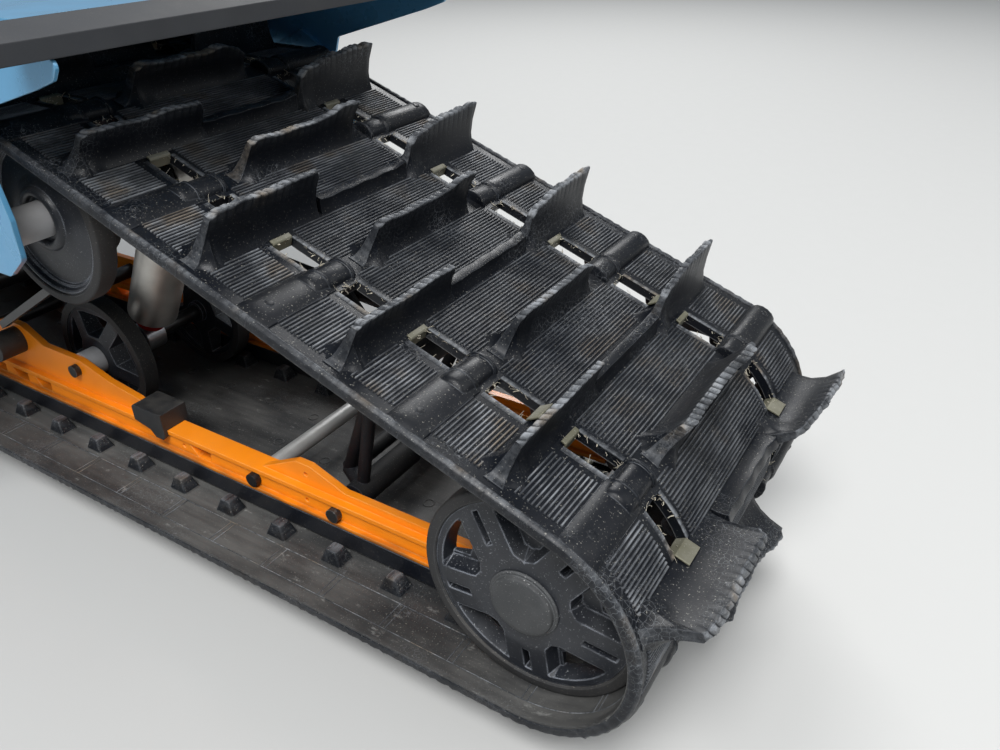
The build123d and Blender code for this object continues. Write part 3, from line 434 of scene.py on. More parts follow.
@dataclass(frozen=True)
class TrackRubber(Finish):
    """The belt's and paddles' rubber: rubbed pale at the paddles' tips and the ribs' tops.

    The mesh carries how worn each point is in the attribute "worn", and its place on the flat belt in
    "flat", with X along the travel, Y across the machine and Z outwards from the inner face.

    Attributes:
        tip: The rubber's colour where it is rubbed, and in dry cracks.
        earth: The colour of earth in the rubbed places.
        film: The colour of the film on the inner face.
        scuff: The colour of the pale scuffs on the inner face.
    """

    tip: Colour = (0.26, 0.275, 0.295)
    earth: Colour = (0.17, 0.13, 0.085)
    film: Colour = (0.112, 0.11, 0.105)
    scuff: Colour = (0.42, 0.42, 0.4)

    def inner_face(self, graph: Graph, flat: Socket) -> Socket:
        """Masks the belt's inner face, without the drive lugs that stand on it.

        Args:
            graph: The material's graph.
            flat: The place on the flat belt.

        Returns:
            The mask's socket.
        """
        depth = graph.part(flat, 2)
        return graph.times(graph.ramp(depth, 0.0002, 0.001, 1.0, 0.0), graph.ramp(depth, -0.0022, -0.0012))

    def cracks(self, graph: Graph, flat: Socket) -> Socket:
        """Masks the fine cracks of dry rubber, which come in patches.

        Args:
            graph: The material's graph.
            flat: The place on the flat belt.

        Returns:
            The mask's socket.
        """
        shifts = graph.add("ShaderNodeTexNoise", {"Vector": flat, "Scale": 160.0}).outputs[1]
        bent = graph.vector("ADD", flat, graph.vector("MULTIPLY", shifts, (0.004, 0.004, 0.004)))
        web = graph.add("ShaderNodeTexVoronoi", {"Vector": bent, "Scale": 210.0}, feature="DISTANCE_TO_EDGE")
        patches = graph.ramp(graph.noise(flat, 13.0, 3.0), 0.5, 0.66)
        return graph.times(graph.ramp(web.outputs[0], 0.0, 0.035, 0.4, 0.0), patches)

    def surface(self, graph: Graph) -> tuple[Socket, Socket, Socket]:
        """Adds the worn places to the shared effects.

        Args:
            graph: The material's graph.

        Returns:
            The colour, roughness and normal sockets.
        """
        colour, rough, normal = super().surface(graph)
        flat = graph.add("ShaderNodeAttribute", attribute_name="flat").outputs["Vector"]
        worn = graph.add("ShaderNodeAttribute", attribute_name="worn").outputs["Fac"]
        inside = self.inner_face(graph, flat)
        wide = graph.noise(flat, 21.0, 4.0)
        fine = graph.ramp(graph.noise(flat, 240.0, 6.0, 0.7, (1.0, 0.12, 1.0)), 0.34, 0.62, 0.2, 1.0)
        rubbed = graph.times(worn, graph.times(fine, graph.ramp(wide, 0.4, 0.6, 0.3, 1.15)), clamp=True)
        pale = graph.mix(graph.ramp(wide, 0.53, 0.66, 0.0, 0.8), self.tip, self.earth)
        smear = graph.ramp(graph.noise(flat, 11.0, 7.0, 0.6, (0.4, 1.0, 1.0)), 0.34, 0.66, 0.25, 1.0)
        streaks = graph.ramp(graph.noise(flat, 150.0, 3.0, stretch=(0.06, 1.0, 1.0)), 0.3, 0.7, 0.7, 1.0)
        clean = graph.math("SUBTRACT", inside, worn, clamp=True)
        film = graph.times(smear, streaks, clean)
        chalk = graph.ramp(graph.noise(flat, 75.0, 8.0, 0.72, (0.5, 1.0, 1.0)), 0.58, 0.72, 0.0, 0.45)
        colour = graph.mix(rubbed, colour, pale)
        colour = graph.mix(film, colour, self.film)
        colour = graph.mix(graph.times(chalk, inside), colour, self.scuff)
        colour = graph.mix(self.cracks(graph, flat), colour, self.tip)
        dull = graph.times(graph.math("MAXIMUM", rubbed, film), 0.85)
        return colour, graph.math("MAXIMUM", rough, dull), normal


@dataclass(frozen=True)
class RailCoat(Finish):
    """The rails' coat, with painted shade along the lower edge, where the rail meets the slider.

    Attributes:
        grime: The colour of the painted shade at the lower edge.
        edge_height: The lower edge's height over the ground.
        reach: How far up the painted shade goes.
    """

    grime: Colour = (0.045, 0.02, 0.008)
    edge_height: float = 0.0795
    reach: float = 0.011

    def surface(self, graph: Graph) -> tuple[Socket, Socket, Socket]:
        """Adds the painted shade to the shared effects.

        Args:
            graph: The material's graph.

        Returns:
            The colour, roughness and normal sockets.
        """
        colour, rough, normal = super().surface(graph)
        place = graph.place()
        # Painted shade: darker towards the lower edge, where the rail meets the slider, broken up by noise.
        low = graph.ramp(graph.part(place, 2), self.edge_height, self.edge_height + self.reach, 0.75, 0.0)
        noise = graph.noise(place, 70.0, 5.0, stretch=(0.3, 1.0, 1.0))
        mask = graph.times(low, graph.ramp(noise, 0.32, 0.62, 0.25, 1.0))
        return graph.mix(mask, colour, self.grime), graph.math("MAXIMUM", rough, mask), normal


@dataclass(frozen=True)
class BoltedTube(Finish):
    """A bare tube between the rails with black bolt heads outside them.

    Attributes:
        head: The bolt heads' colour.
        face: How far the rails' outer faces stand from the middle.
    """

    head: Colour = (0.012, 0.012, 0.013)
    face: float = 0.115

    def surface(self, graph: Graph) -> tuple[Socket, Socket, Socket]:
        """Adds the bolt heads' colour to the shared effects.

        Args:
            graph: The material's graph.

        Returns:
            The colour, roughness and normal sockets.
        """
        colour, rough, normal = super().surface(graph)
        across = graph.math("ABSOLUTE", graph.part(graph.place(), 1))
        return graph.mix(graph.ramp(across, self.face - 0.0002, self.face), colour, self.head), rough, normal


class Finishes:
    """Every finish on the chassis."""

    TRACK = TrackRubber("track_rubber_worn", (0.0034, 0.0046, 0.0075), worn=(0.075, 0.083, 0.095),
                        roughness=0.4, edge_radius=0.0014, edge_amount=0.7, dust=(0.15, 0.145, 0.13),
                        dust_amount=0.045, speck_amount=0.75, bump=0.4, specular=0.22)
    ORANGE = RailCoat("orange_coat", (1.0, 0.27, 0.004), worn=(1.0, 0.5, 0.14), roughness=0.36,
                      edge_radius=0.0018, dust_amount=0.05, speck_amount=0.1, bump=0.05, coat=0.15,
                      variation=0.04)
    # The pale worn colour on the slider's edges is a painted highlight, the light line along its rounded
    # edges.
    SLIDER = Finish("slider_black", (0.008, 0.0095, 0.014), worn=(0.14, 0.15, 0.17), roughness=0.33,
                    dust_amount=0.12, edge_amount=0.8, speck_amount=0.4)
    ALUMINIUM = Finish("dull_aluminium", (0.5, 0.51, 0.52), worn=(0.7, 0.7, 0.7), metallic=0.9,
                       roughness=0.42)
    # The pale bluish worn colour on the wheels' edges is a painted highlight, the glint along their rounded
    # edges.
    WHEEL = Finish("wheel_black", (0.011, 0.013, 0.018), worn=(0.29, 0.31, 0.35), roughness=0.36,
                   edge_amount=1.0, edge_radius=0.0022, dust=(0.2, 0.205, 0.21), dust_amount=0.2,
                   speck_amount=1.0, specular=0.4)
    TYRE = Finish("wheel_rubber_black", (0.022, 0.022, 0.023), worn=(0.15, 0.155, 0.16), roughness=0.66,
                  dust_amount=0.15, speck_amount=0.6, bump=0.5, grain_scale=500.0, specular=0.35)
    CAP = Finish("cap_grained", (0.03, 0.032, 0.034), worn=(0.22, 0.23, 0.24), dust=(0.28, 0.28, 0.28),
                 roughness=0.62, bump=0.8, grain_scale=1400.0, speck_amount=0.9)
    STOP = Finish("stop_rubber_black", (0.014, 0.0145, 0.016), worn=(0.09, 0.09, 0.1))
    TUBE = BoltedTube("bare_tube", (0.42, 0.42, 0.41), worn=(0.5, 0.5, 0.5), metallic=0.3, roughness=0.42,
                      dust_amount=0.15)
    BOLT = Finish("bolt_black", (0.012, 0.012, 0.013), worn=(0.2, 0.2, 0.2), roughness=0.34,
                  edge_amount=0.9, dust_amount=0.15)
    FRAME = Finish("frame_black", (0.006, 0.0072, 0.0105), worn=(0.06, 0.07, 0.085), roughness=0.6,
                   dust_amount=0.1, specular=0.25)
    GREY = Finish("spacer_grey", (0.46, 0.46, 0.47), worn=(0.5, 0.5, 0.5), metallic=0.1)
    STEEL = Finish("turned_steel", (0.36, 0.36, 0.37), worn=(0.6, 0.6, 0.6), metallic=0.95,
                   roughness=0.36)
    BLACK_STEEL = Finish("black_coat", (0.016, 0.017, 0.019), worn=(0.1, 0.1, 0.1), roughness=0.36,
                         coat=0.3)
    SHOCK = Finish("shock_satin", (0.62, 0.6, 0.56), worn=(0.8, 0.8, 0.8), metallic=0.85, roughness=0.38)
    RED = Finish("red_anodised", (0.5, 0.012, 0.012), worn=(0.6, 0.3, 0.3), metallic=0.6, roughness=0.35)
    BLUE = Finish("light_blue_coat", (0.1, 0.315, 0.53), worn=(0.4, 0.62, 0.75), metallic=0.2,
                  roughness=0.3, dust_amount=0.03, speck_amount=0.04, bump=0.02, coat=0.5, variation=0.015)
    BAND = Finish("tail_moulding_black", (0.019, 0.021, 0.025), worn=(0.06, 0.06, 0.065), roughness=0.68,
                  bump=0.2, dust_amount=0.08, speck_amount=0.05)
    BRASS = Finish("clip_brass", (0.13, 0.125, 0.085), worn=(0.3, 0.28, 0.2), metallic=0.3,
                   roughness=0.55, dust=(0.3, 0.29, 0.26), dust_amount=0.5, speck_amount=0.5)
    FIBRE = Finish("cream_cord", (0.72, 0.66, 0.53), worn=(0.7, 0.66, 0.56), roughness=0.9,
                   edge_amount=0.0)
    FLOOR = Finish("pale_floor", (0.5, 0.5, 0.49), edge_amount=0.0, dust_amount=0.0, speck_amount=0.0,
                   roughness=0.85, bump=0.0, variation=0.0)


SLOT_FINISH: dict[str, Finish] = {
    "track_rubber": Finishes.TRACK, "orange_aluminium": Finishes.ORANGE, "slider_plastic": Finishes.SLIDER,
    "bare_aluminium": Finishes.ALUMINIUM, "wheel_plastic": Finishes.WHEEL, "wheel_rubber": Finishes.TYRE,
    "cap_plastic": Finishes.CAP, "stop_rubber": Finishes.STOP, "grey_spacer": Finishes.GREY,
    "steel": Finishes.STEEL, "black_steel": Finishes.BLACK_STEEL, "shock_aluminium": Finishes.SHOCK,
    "red_knob": Finishes.RED, "spring_steel": Finishes.BLACK_STEEL, "black_plastic": Finishes.STOP,
    "sprocket_plastic": Finishes.WHEEL, "blue_sheet": Finishes.BLUE, "band_plastic": Finishes.BAND,
}

NODE_FINISH: dict[str, Finish] = {
    "rail_shafts": Finishes.BOLT, "cross_tube": Finishes.TUBE, "rear_link": Finishes.FRAME,
    "rear_arm": Finishes.FRAME,
}


def dress_cad_nodes() -> int:
    """Gives every CAD node its own finish, or else the one of its material slot.

    Returns:
        How many nodes were dressed.
    """
    for part in frame["record"]["subparts"]:
        node = frame["nodes"][part["node"]]
        node.data.materials.clear()
        finish = NODE_FINISH.get(part["node"], SLOT_FINISH[part["material_slot"]])
        node.data.materials.append(finish.build())
    return len(frame["record"]["subparts"])


def centre_of(node: str) -> Vector:
    """The middle of a CAD node's box.

    Args:
        node: The node's name.

    Returns:
        The middle point.
    """
    low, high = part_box(node)
    return (Vector(low) + Vector(high)) / 2


class MeshMaker:
    """Collects vertices and faces of one mesh in plain Python."""

    def __init__(self) -> None:
        """Starts empty."""
        self.points: list[Point] = []
        self.faces: list[tuple[int, ...]] = []
        self.marks: dict[int, float] = {}

    def loft(self, sections: Sequence[Sequence[Point]], closed: bool = False,
             marks: Sequence[Sequence[float]] | None = None) -> None:
        """Joins rings of equally many points by quads and closes both ends.

        Args:
            sections: The rings in order; each runs anticlockwise seen from beyond the last one.
            closed: Whether the last ring joins the first, with no ends.
            marks: How worn each point of each ring is, 0 to 1.
        """
        start = len(self.points)
        count = len(sections[0])
        for i, ring in enumerate(sections):
            if marks:
                self.marks.update({len(self.points) + j: mark for j, mark in enumerate(marks[i])})
            self.points.extend(ring)
        pairs = len(sections) if closed else len(sections) - 1
        for i in range(pairs):
            near = start + i * count
            far = start + (i + 1) % len(sections) * count
            for j in range(count):
                k = (j + 1) % count
                self.faces.append((near + j, near + k, far + k, far + j))
        if not closed:
            last = start + (len(sections) - 1) * count
            self.faces.append(tuple(start + j for j in reversed(range(count))))
            self.faces.append(tuple(last + j for j in range(count)))

    def mirror_y(self) -> None:
        """Adds the mirror image on the machine's other side."""
        shift = len(self.points)
        self.marks.update({shift + i: mark for i, mark in self.marks.items()})
        self.points.extend([(x, -y, z) for x, y, z in self.points])
        self.faces.extend([tuple(shift + i for i in reversed(face)) for face in list(self.faces)])

    def tube(self, line: Sequence[Point], radius: float, sides: int = 4) -> None:
        """Adds a closed thin tube along a line.

        Args:
            line: The line's points.
            radius: The tube's radius at its start; it thins to about half at its end.
            sides: How many sides it has.
        """
        rings = []
        for i, point in enumerate(line):
            near, far = Vector(line[max(i - 1, 0)]), Vector(line[min(i + 1, len(line) - 1)])
            along = (far - near).normalized()
            first = along.orthogonal().normalized()
            second = along.cross(first)
            reach = radius * (1.0 - 0.5 * i / len(line))
            rings.append([
                tuple(Vector(point) + reach * (math.cos(a) * first + math.sin(a) * second))
                for a in (2 * math.pi * j / sides for j in range(sides))
            ])
        self.loft(rings)

    def include(self, other: "MeshMaker", offset: Point = (0.0, 0.0, 0.0)) -> None:
        """Adds a copy of another mesh.

        Args:
            other: The mesh to copy.
            offset: Where the copy goes.
        """
        shift = len(self.points)
        self.marks.update({shift + i: mark for i, mark in other.marks.items()})
        self.points.extend([(x + offset[0], y + offset[1], z + offset[2]) for x, y, z in other.points])
        self.faces.extend([tuple(shift + i for i in face) for face in other.faces])

    def to_object(self, name: str, outward: bool = True) -> bpy.types.Object:
        """Makes a Blender object of the mesh.

        Args:
            name: The object's name.
            outward: Whether the faces are turned to point outwards.

        Returns:
            The new object, linked to the scene.
        """
        mesh = bpy.data.meshes.new(name)
        mesh.from_pydata(self.points, [], self.faces)
        if outward:
            work = bmesh.new()
            work.from_mesh(mesh)
            bmesh.ops.recalc_face_normals(work, faces=work.faces)
            work.to_mesh(mesh)
            work.free()
        if self.marks:
            worn = mesh.attributes.new("worn", "FLOAT", "POINT")
            worn.data.foreach_set("value", [self.marks.get(i, 0.0) for i in range(len(self.points))])
        thing = bpy.data.objects.new(name, mesh)
        bpy.context.scene.collection.objects.link(thing)
        return thing


def smooth_by_angle(mesh: bpy.types.Mesh, degrees: float = 35.0) -> None:
    """Shades a mesh smooth, except across edges sharper than an angle.

    Args:
        mesh: The mesh.
        degrees: The angle between two faces past which their edge stays sharp.
    """
    work = bmesh.new()
    work.from_mesh(mesh)
    limit = math.radians(degrees)
    for face in work.faces:
        face.smooth = True
    for edge in work.edges:
        edge.smooth = len(edge.link_faces) == 2 and edge.calc_face_angle(math.pi) < limit
    work.to_mesh(mesh)
    work.free()


def blend(value: float, low: float, high: float) -> float:
    """Rises smoothly from 0 to 1 between two values.

    Args:
        value: Where to look.
        low: Where the rise starts.
        high: Where it ends.

    Returns:
        The height of the rise, 0 to 1.
    """
    part = min(1.0, max(0.0, (value - low) / (high - low)))
    return part * part * (3.0 - 2.0 * part)


@dataclass(frozen=True)
class PaddleShape:
    """One paddle's top, from its free end on the right to the corner over its foot on the left.

    Attributes:
        heights: Places across the machine with the height over the belt at each.
        hook: How far the free end's top reaches out.
        lean: How far a paddle of full height leans forward.
    """

    heights: tuple[tuple[float, float], ...]
    hook: float = 0.0
    lean: float = 0.0

    def height(self, y: float) -> float:
        """The top's height at a place across the machine.

        Args:
            y: The place.

        Returns:
            The height over the belt.
        """
        for (y1, h1), (y2, h2) in zip(self.heights, self.heights[1:]):
            if y <= y2:
                return h1 + (h2 - h1) * blend(y, y1, y2)
        return self.heights[-1][1]


class Paddles:
    """The paddles of six pitches: some are worn lower than others."""

    LEFT = PaddleShape(((0.050, 0.026), (0.057, 0.0335), (0.080, 0.0355), (0.108, 0.0325), (0.145, 0.0325),
                        (0.175, 0.0345)), lean=-0.004)
    LEFT_TALL = PaddleShape(((0.058, 0.040), (0.065, 0.047), (0.100, 0.045), (0.145, 0.0455),
                             (0.177, 0.044)), lean=-0.003)
    RIGHT = PaddleShape(((-0.185, 0.047), (-0.162, 0.0478), (-0.138, 0.0465), (-0.112, 0.0435),
                         (-0.094, 0.038), (-0.079, 0.034)), 0.008, 0.006)
    CENTRE = PaddleShape(((-0.073, 0.041), (-0.064, 0.046), (-0.052, 0.0445), (-0.035, 0.037),
                          (0.0, 0.0345), (0.040, 0.035), (0.064, 0.037)), 0.005, -0.005)
    CENTRE_TORN = PaddleShape(((-0.070, 0.024), (-0.056, 0.033), (-0.035, 0.0385), (-0.015, 0.035),
                               (0.040, 0.035), (0.064, 0.0365)), 0.002, -0.005)
    OUTER_ROW = ((LEFT, RIGHT), (LEFT, RIGHT), (LEFT_TALL, RIGHT))
    CENTRE_ROW = ((CENTRE,), (CENTRE_TORN,), (CENTRE,))


@dataclass
class Mouldings:
    """Everything that is moulded on the belt, as flat meshes round a rod at X = 0.

    X runs along the travel, Y across the machine and Z outwards from the belt's inner face.

    Attributes:
        belt: The belt's thickness.
        half_width: Half the belt's width.
        pitch: The distance between two rods.
        height: The most that a paddle may stand over the belt.
        tip: A paddle's thickness at its top.
        base: A paddle's thickness at the belt.
        root: How deep a moulding starts inside the belt.
        levels: The heights of a section's points, as shares of its own height.
        scallop: The width of one scallop of a paddle's worn top.
        scallop_depth: How deep the cuts between the scallops go.
        scallop_skew: How far a scallop slants across the paddle's thickness.
        scallop_steps: Where a scallop has sections, as shares of its width.
        foot_reach: How far the flared foot goes on past the paddle.
        foot_width: The foot's length along the belt.
        foot_steps: Where the foot has sections, as shares of its reach.
        ridge: Where the low ridge between two outer paddles starts and ends.
        window_inner: The windows' inner edge from the middle.
        window_outer: The windows' outer edge from the middle.
        window_start: Where a window starts after a rod, as a share of the pitch.
        window_end: Where it ends, as a share of the pitch.
        cover_height: The right rod cover's height.
        cover_width: The right rod cover's width.
        rib_pitch: About how far apart the fine ribs are.
        rib_height: How high they stand.
        rib_bands: Each band of ribs: its start, its end, its margin from the rods and how worn it is.
        drive_lugs: Each left drive lug's edges across the machine.
        drive_lug_place: Where the drive lugs stand after a rod, as a share of the pitch.
        clip_sheet: The thickness of a guide clip's sheet.
    """

    belt: float = 0.008
    half_width: float = 0.2032
    pitch: float = 0.0726
    height: float = 0.048
    tip: float = 0.0058
    base: float = 0.028
    root: float = 0.0015
    levels: tuple[float, ...] = (0.0, 0.06, 0.16, 0.36, 0.64, 0.92, 0.975)
    scallop: float = 0.0086
    scallop_depth: float = 0.0034
    scallop_skew: float = 0.0026
    scallop_steps: tuple[float, ...] = (0.0, 0.1, 0.3, 0.6, 0.9)
    foot_reach: float = 0.0155
    foot_width: float = 0.052
    foot_steps: tuple[float, ...] = (0.0, 0.06, 0.14, 0.25, 0.4, 0.6, 0.8, 1.0)
    ridge: tuple[float, float] = (-0.070, 0.052)
    window_inner: float = 0.100
    window_outer: float = 0.123
    window_start: float = 0.20
    window_end: float = 0.75
    cover_height: float = 0.0105
    cover_width: float = 0.026
    rib_pitch: float = 0.0032
    rib_height: float = 0.0013
    rib_bands: tuple[tuple[float, float, float, float], ...] = (
        (0.134, 0.188, 0.0155, 0.85), (-0.093, 0.093, 0.0125, 0.34), (-0.188, -0.134, 0.0155, 0.45))
    drive_lugs: tuple[tuple[float, float], ...] = ((0.1335, 0.1540), (0.071, 0.093))
    drive_lug_place: float = 0.25
    clip_sheet: float = 0.0013

    def section(self, y: float, height: float, base: float, tip: float, power: float = 3.0,
                skew: float = 0.0, hook: float = 0.0, cut: float = 0.0, lean: float = 0.0) -> list[Point]:
        """One cross section of a paddle.

        Args:
            y: Where the section is across the machine.
            height: How high it stands over the belt.
            base: Its width at the belt.
            tip: Its width at the top.
            power: How hollow its flanks are.
            skew: How far the top's front edge moves to the left, and its rear edge to the right.
            hook: How far its top reaches out across the machine.
            cut: How deep the section lies in a cut between two scallops, 0 to 1.
            lean: How far a section of full height leans forward.

        Returns:
            The ring of points, from the rear foot over the top to the front foot.
        """
        rear, front = [], []
        low = self.belt - self.root
        whole = height / self.height
        for u in self.levels:
            half = tip / 2 * (1.0 - 0.3 * cut * blend(u, 0.88, 1.0)) + (base - tip) / 2 * (1.0 - u) ** power
            middle = lean * (u * whole) ** 2
            z = low + (height + self.root) * u
            across = y + hook * u**3
            rear.append((middle - half, across - skew * u**6, z))
            front.append((middle + half, across + skew * u**6, z))
        top = self.belt + height - self.scallop_depth * cut
        middle = lean * whole**2
        crown, slant = 0.34 * tip, 0.7 * skew
        rear.append((middle - crown, y + hook - slant, top))
        front.append((middle + crown, y + hook + slant, top))
        return rear + front[::-1]

    def notch(self, y: float) -> float:
        """How much of a cut there is between two scallops of the worn top.

        Args:
            y: The place across the machine.

        Returns:
            The share, 0 on a scallop to 1 in the middle of a cut.
        """
        phase = (y / self.scallop) % 1.0
        return (1.0 - math.sin(math.pi * phase)) ** 3

    def wear(self, strength: float) -> list[float]:
        """How worn each point of a paddle's section is.

        Args:
            strength: How worn its top is.

        Returns:
            The marks in the section's order.
        """
        flank = [strength * blend(u, 0.9, 1.0) for u in self.levels]
        return flank + [strength, strength] + flank[::-1]

    def stops(self, low: float, high: float) -> list[float]:
        """The places of a paddle's sections, close together at each cut.

        Args:
            low: The least place across the machine.
            high: The greatest place.

        Returns:
            The places in order.
        """
        first, last = int(low / self.scallop) - 1, int(high / self.scallop) + 1
        places = [(i + step) * self.scallop for i in range(first, last + 1) for step in self.scallop_steps]
        apart = 0.0006
        return [low] + [y for y in places if low + apart < y < high - apart] + [high]

    def foot_sections(self, end: float, height: float, lean: float) -> list[list[Point]]:
        """The flared foot at a paddle's left end, like the bell of a trumpet.

        Args:
            end: Where the paddle itself ends.
            height: The paddle's height there.
            lean: How far a paddle of full height leans forward.

        Returns:
            The sections in order, from the paddle outwards.
        """
        least, widening = 0.0008, 0.010
        sections = []
        for part in self.foot_steps:
            high = max(least, height * (1.0 - part) ** 2.8)
            wide = self.foot_width * (1.0 - 0.4 * (1.0 - blend(part, -0.3, 0.3)) - 0.3 * part**3)
            sections.append(self.section(end + self.foot_reach * part, high, wide, self.tip + widening * part,
                                         2.6, lean=lean))
        return sections

    def paddle(self, shape: PaddleShape) -> MeshMaker:
        """A paddle with its flared foot on the left and its free end on the right.

        Args:
            shape: The paddle's height across the machine.

        Returns:
            The closed mesh.
        """
        free, corner = shape.heights[0][0], shape.heights[-1][0]
        wave, corner_drop = 0.0007, 0.004
        sections, marks = [], []
        for y in self.stops(free, corner):
            cut = self.notch(y)
            end = blend(y, free, free + 0.016)
            height = min(shape.height(y) + wave * math.sin(y * 140.0 + 0.6), self.height)
            height -= corner_drop * blend(y, corner - 0.006, corner)
            base = self.base + (self.foot_width - self.base) * 0.6 * blend(y, corner - 0.018, corner)
            wide = self.tip * (1.0 - 0.45 * (1.0 - blend(y, free, free + 0.006)))
            sections.append(self.section(y, height, base, wide, 4.0, self.scallop_skew * end,
                                         -shape.hook * (1.0 - end), cut, shape.lean))
            marks.append(self.wear(1.0 - 0.95 * cut))
        feet = self.foot_sections(corner + 0.0015, shape.heights[-1][1] - 0.005, shape.lean)
        sections.extend(feet)
        marks.extend([self.wear(0.25)] * len(feet))
        maker = MeshMaker()
        maker.loft(sections, marks=marks)
        return maker

    def low_ridge(self) -> MeshMaker:
        """The low rounded ridge over a rod between two outer paddles.

        Returns:
            The closed mesh.
        """
        start, end = self.ridge
        steps = 24
        sections = []
        for i in range(steps + 1):
            y = start + (end - start) * i / steps
            height = 0.0125 + 0.002 * blend(abs(y), 0.05, -start) - 0.0006 * math.sin(y * 210.0)
            sections.append(self.section(y, height, 0.021, 0.0085, 1.7))
        maker = MeshMaker()
        maker.loft(sections)
        return maker

    def round_bar(self, start: float, end: float, height: float, width: float, ends: float) -> MeshMaker:
        """A half-round bar on the belt over a rod.

        Args:
            start: Where it starts across the machine.
            end: Where it ends.
            height: How high it stands over the belt.
            width: Its width.
            ends: The length over which each end slopes down.

        Returns:
            The closed mesh.
        """
        slope = ((0.0, 0.25), (0.25, 0.72), (0.6, 0.94), (1.0, 1.0))
        stops = [(start + ends * part, share) for part, share in slope] + [((start + end) / 2, 1.0)]
        stops += [(end - ends * part, share) for part, share in reversed(slope)]
        steps, low = 8, self.belt - self.root
        sections = []
        for y, share in stops:
            rise = height * share + self.root
            sections.append([(width / 2 * math.cos(a), y, low + rise * math.sin(a) ** 0.8)
                             for a in (math.pi * (1.0 - j / steps) for j in range(steps + 1))])
        maker = MeshMaker()
        maker.loft(sections)
        return maker

    def rod_cover(self, side: Side) -> MeshMaker:
        """The rubber cover over a rod, from the window to the belt's edge, with a small round mark.

        The left one is worn flat towards the belt's edge.

        Args:
            side: The machine's side.

        Returns:
            The closed mesh.
        """
        if side is Side.LEFT:
            maker = self.round_bar(self.window_outer - 0.001, self.half_width - 0.0015, 0.0052, 0.034, 0.016)
            maker.include(self.round_bar(self.window_outer - 0.002, 0.143, 0.0088, 0.026, 0.007))
            across, foot = 0.181, 0.0049
        else:
            maker = self.round_bar(0.0015 - self.half_width, 0.001 - self.window_outer, self.cover_height,
                                   self.cover_width, 0.008)
            across, foot = -0.186, self.cover_height - 0.0003
        sides = 10
        maker.loft([[(radius * math.cos(a), across + radius * math.sin(a), self.belt + foot + level)
                     for a in (2 * math.pi * j / sides for j in range(sides))]
                    for level, radius in ((0.0, 0.0034), (0.0006, 0.0034), (0.0009, 0.0028))])
        return maker

    def sleeve(self) -> MeshMaker:
        """The smooth sleeve over a rod between two windows, with a raised ring at each end.

        Returns:
            The closed mesh.
        """
        maker = self.round_bar(self.window_inner - 0.003, self.window_outer + 0.003, 0.0075, 0.024, 0.003)
        for y in (self.window_inner - 0.004, self.window_outer + 0.001):
            maker.include(self.round_bar(y, y + 0.004, 0.0092, 0.0275, 0.001))
        return maker

    def ribs(self) -> MeshMaker:
        """The fine ribs across the belt between this rod and the next.

        Returns:
            The mesh of closed low bars.
        """
        maker = MeshMaker()
        low, top = self.belt - 0.0006, self.belt + self.rib_height
        half, inset = self.rib_pitch * 0.34, 0.0008
        crest = half * 0.45
        for start, end, margin, mark in self.rib_bands:
            room = self.pitch - 2 * margin
            count = int(room / self.rib_pitch)
            for i in range(count + 1):
                x = margin + room * i / count
                rings = [[(x - half, y, low), (x - crest, y + slope, top), (x + crest, y + slope, top),
                          (x + half, y, low)] for y, slope in ((start, inset), (end, -inset))]
                maker.loft(rings, marks=[(0.0, mark, mark, 0.0)] * 2)
        return maker

    def edge_bead(self) -> MeshMaker:
        """The raised bead along the belt's left edge, one pitch long.

        Returns:
            The mesh; its ends meet the next pitch's bead.
        """
        profile = [(-0.0055, 0.0074), (-0.0048, 0.0092), (-0.0030, 0.0102), (-0.0010, 0.0098),
                   (0.0006, 0.0082), (0.0010, 0.0050), (0.0008, 0.0015), (-0.0008, -0.0004),
                   (-0.0030, 0.0006)]
        worn = (0.05, 0.2, 0.4, 0.3, 0.15, 0.05, 0.1, 0.2, 0.1)
        steps = 16
        rings = []
        for i in range(steps + 1):
            ragged = 0.0005 * math.sin(i * 2.4) * math.sin(math.pi * i / steps)
            rings.append([(self.pitch * i / steps, self.half_width + y + ragged, z + 0.6 * ragged)
                          for y, z in profile])
        maker = MeshMaker()
        maker.loft(rings, marks=[worn] * len(rings))
        return maker

    def window_frames(self) -> MeshMaker:
        """The raised bars along the left window's two long edges, rubbed pale at the window.

        Returns:
            The mesh of closed low bars.
        """
        maker = MeshMaker()
        low, wide, top = self.belt - 0.0005, 0.0045, self.belt + 0.0009
        start, end = self.window_start * self.pitch, self.window_end * self.pitch
        for y, out in ((self.window_inner, -1), (self.window_outer, 1)):
            profile = [(y, low), (y + out * 0.0004, top), (y + out * wide, top - 0.0004),
                       (y + out * (wide + 0.001), low)]
            maker.loft([[(x, across, z) for across, z in profile] for x in (start, (start + end) / 2, end)],
                       marks=[(1.0, 1.0, 0.15, 0.0)] * 3)
        return maker

    def lug_blocks(self) -> MeshMaker:
        """The left drive lugs: tapered blocks on the belt's inner face, with cut corners.

        Returns:
            The mesh of closed blocks.
        """
        maker = MeshMaker()
        x = self.drive_lug_place * self.pitch
        cut = 0.0014
        levels = ((0.0015, 0.0140, 1.0, 0.0), (-0.0008, 0.0128, 0.95, 0.05),
                  (-0.0142, 0.0070, 0.66, 0.12), (-0.0155, 0.0058, 0.58, 0.5))
        for start, end in self.drive_lugs:
            middle = (start + end) / 2
            rings, marks = [], []
            for z, long, share, mark in levels:
                half = (end - start) / 2 * share
                ring = []
                for a, b in ((-1, -1), (1, -1), (1, 1), (-1, 1)):
                    pair = [(x + a * (long - cut), middle + b * half, z),
                            (x + a * long, middle + b * (half - cut), z)]
                    ring.extend(pair if a != b else pair[::-1])
                rings.append(ring)
                marks.append([mark] * len(ring))
            maker.loft(rings, marks=marks)
        return maker

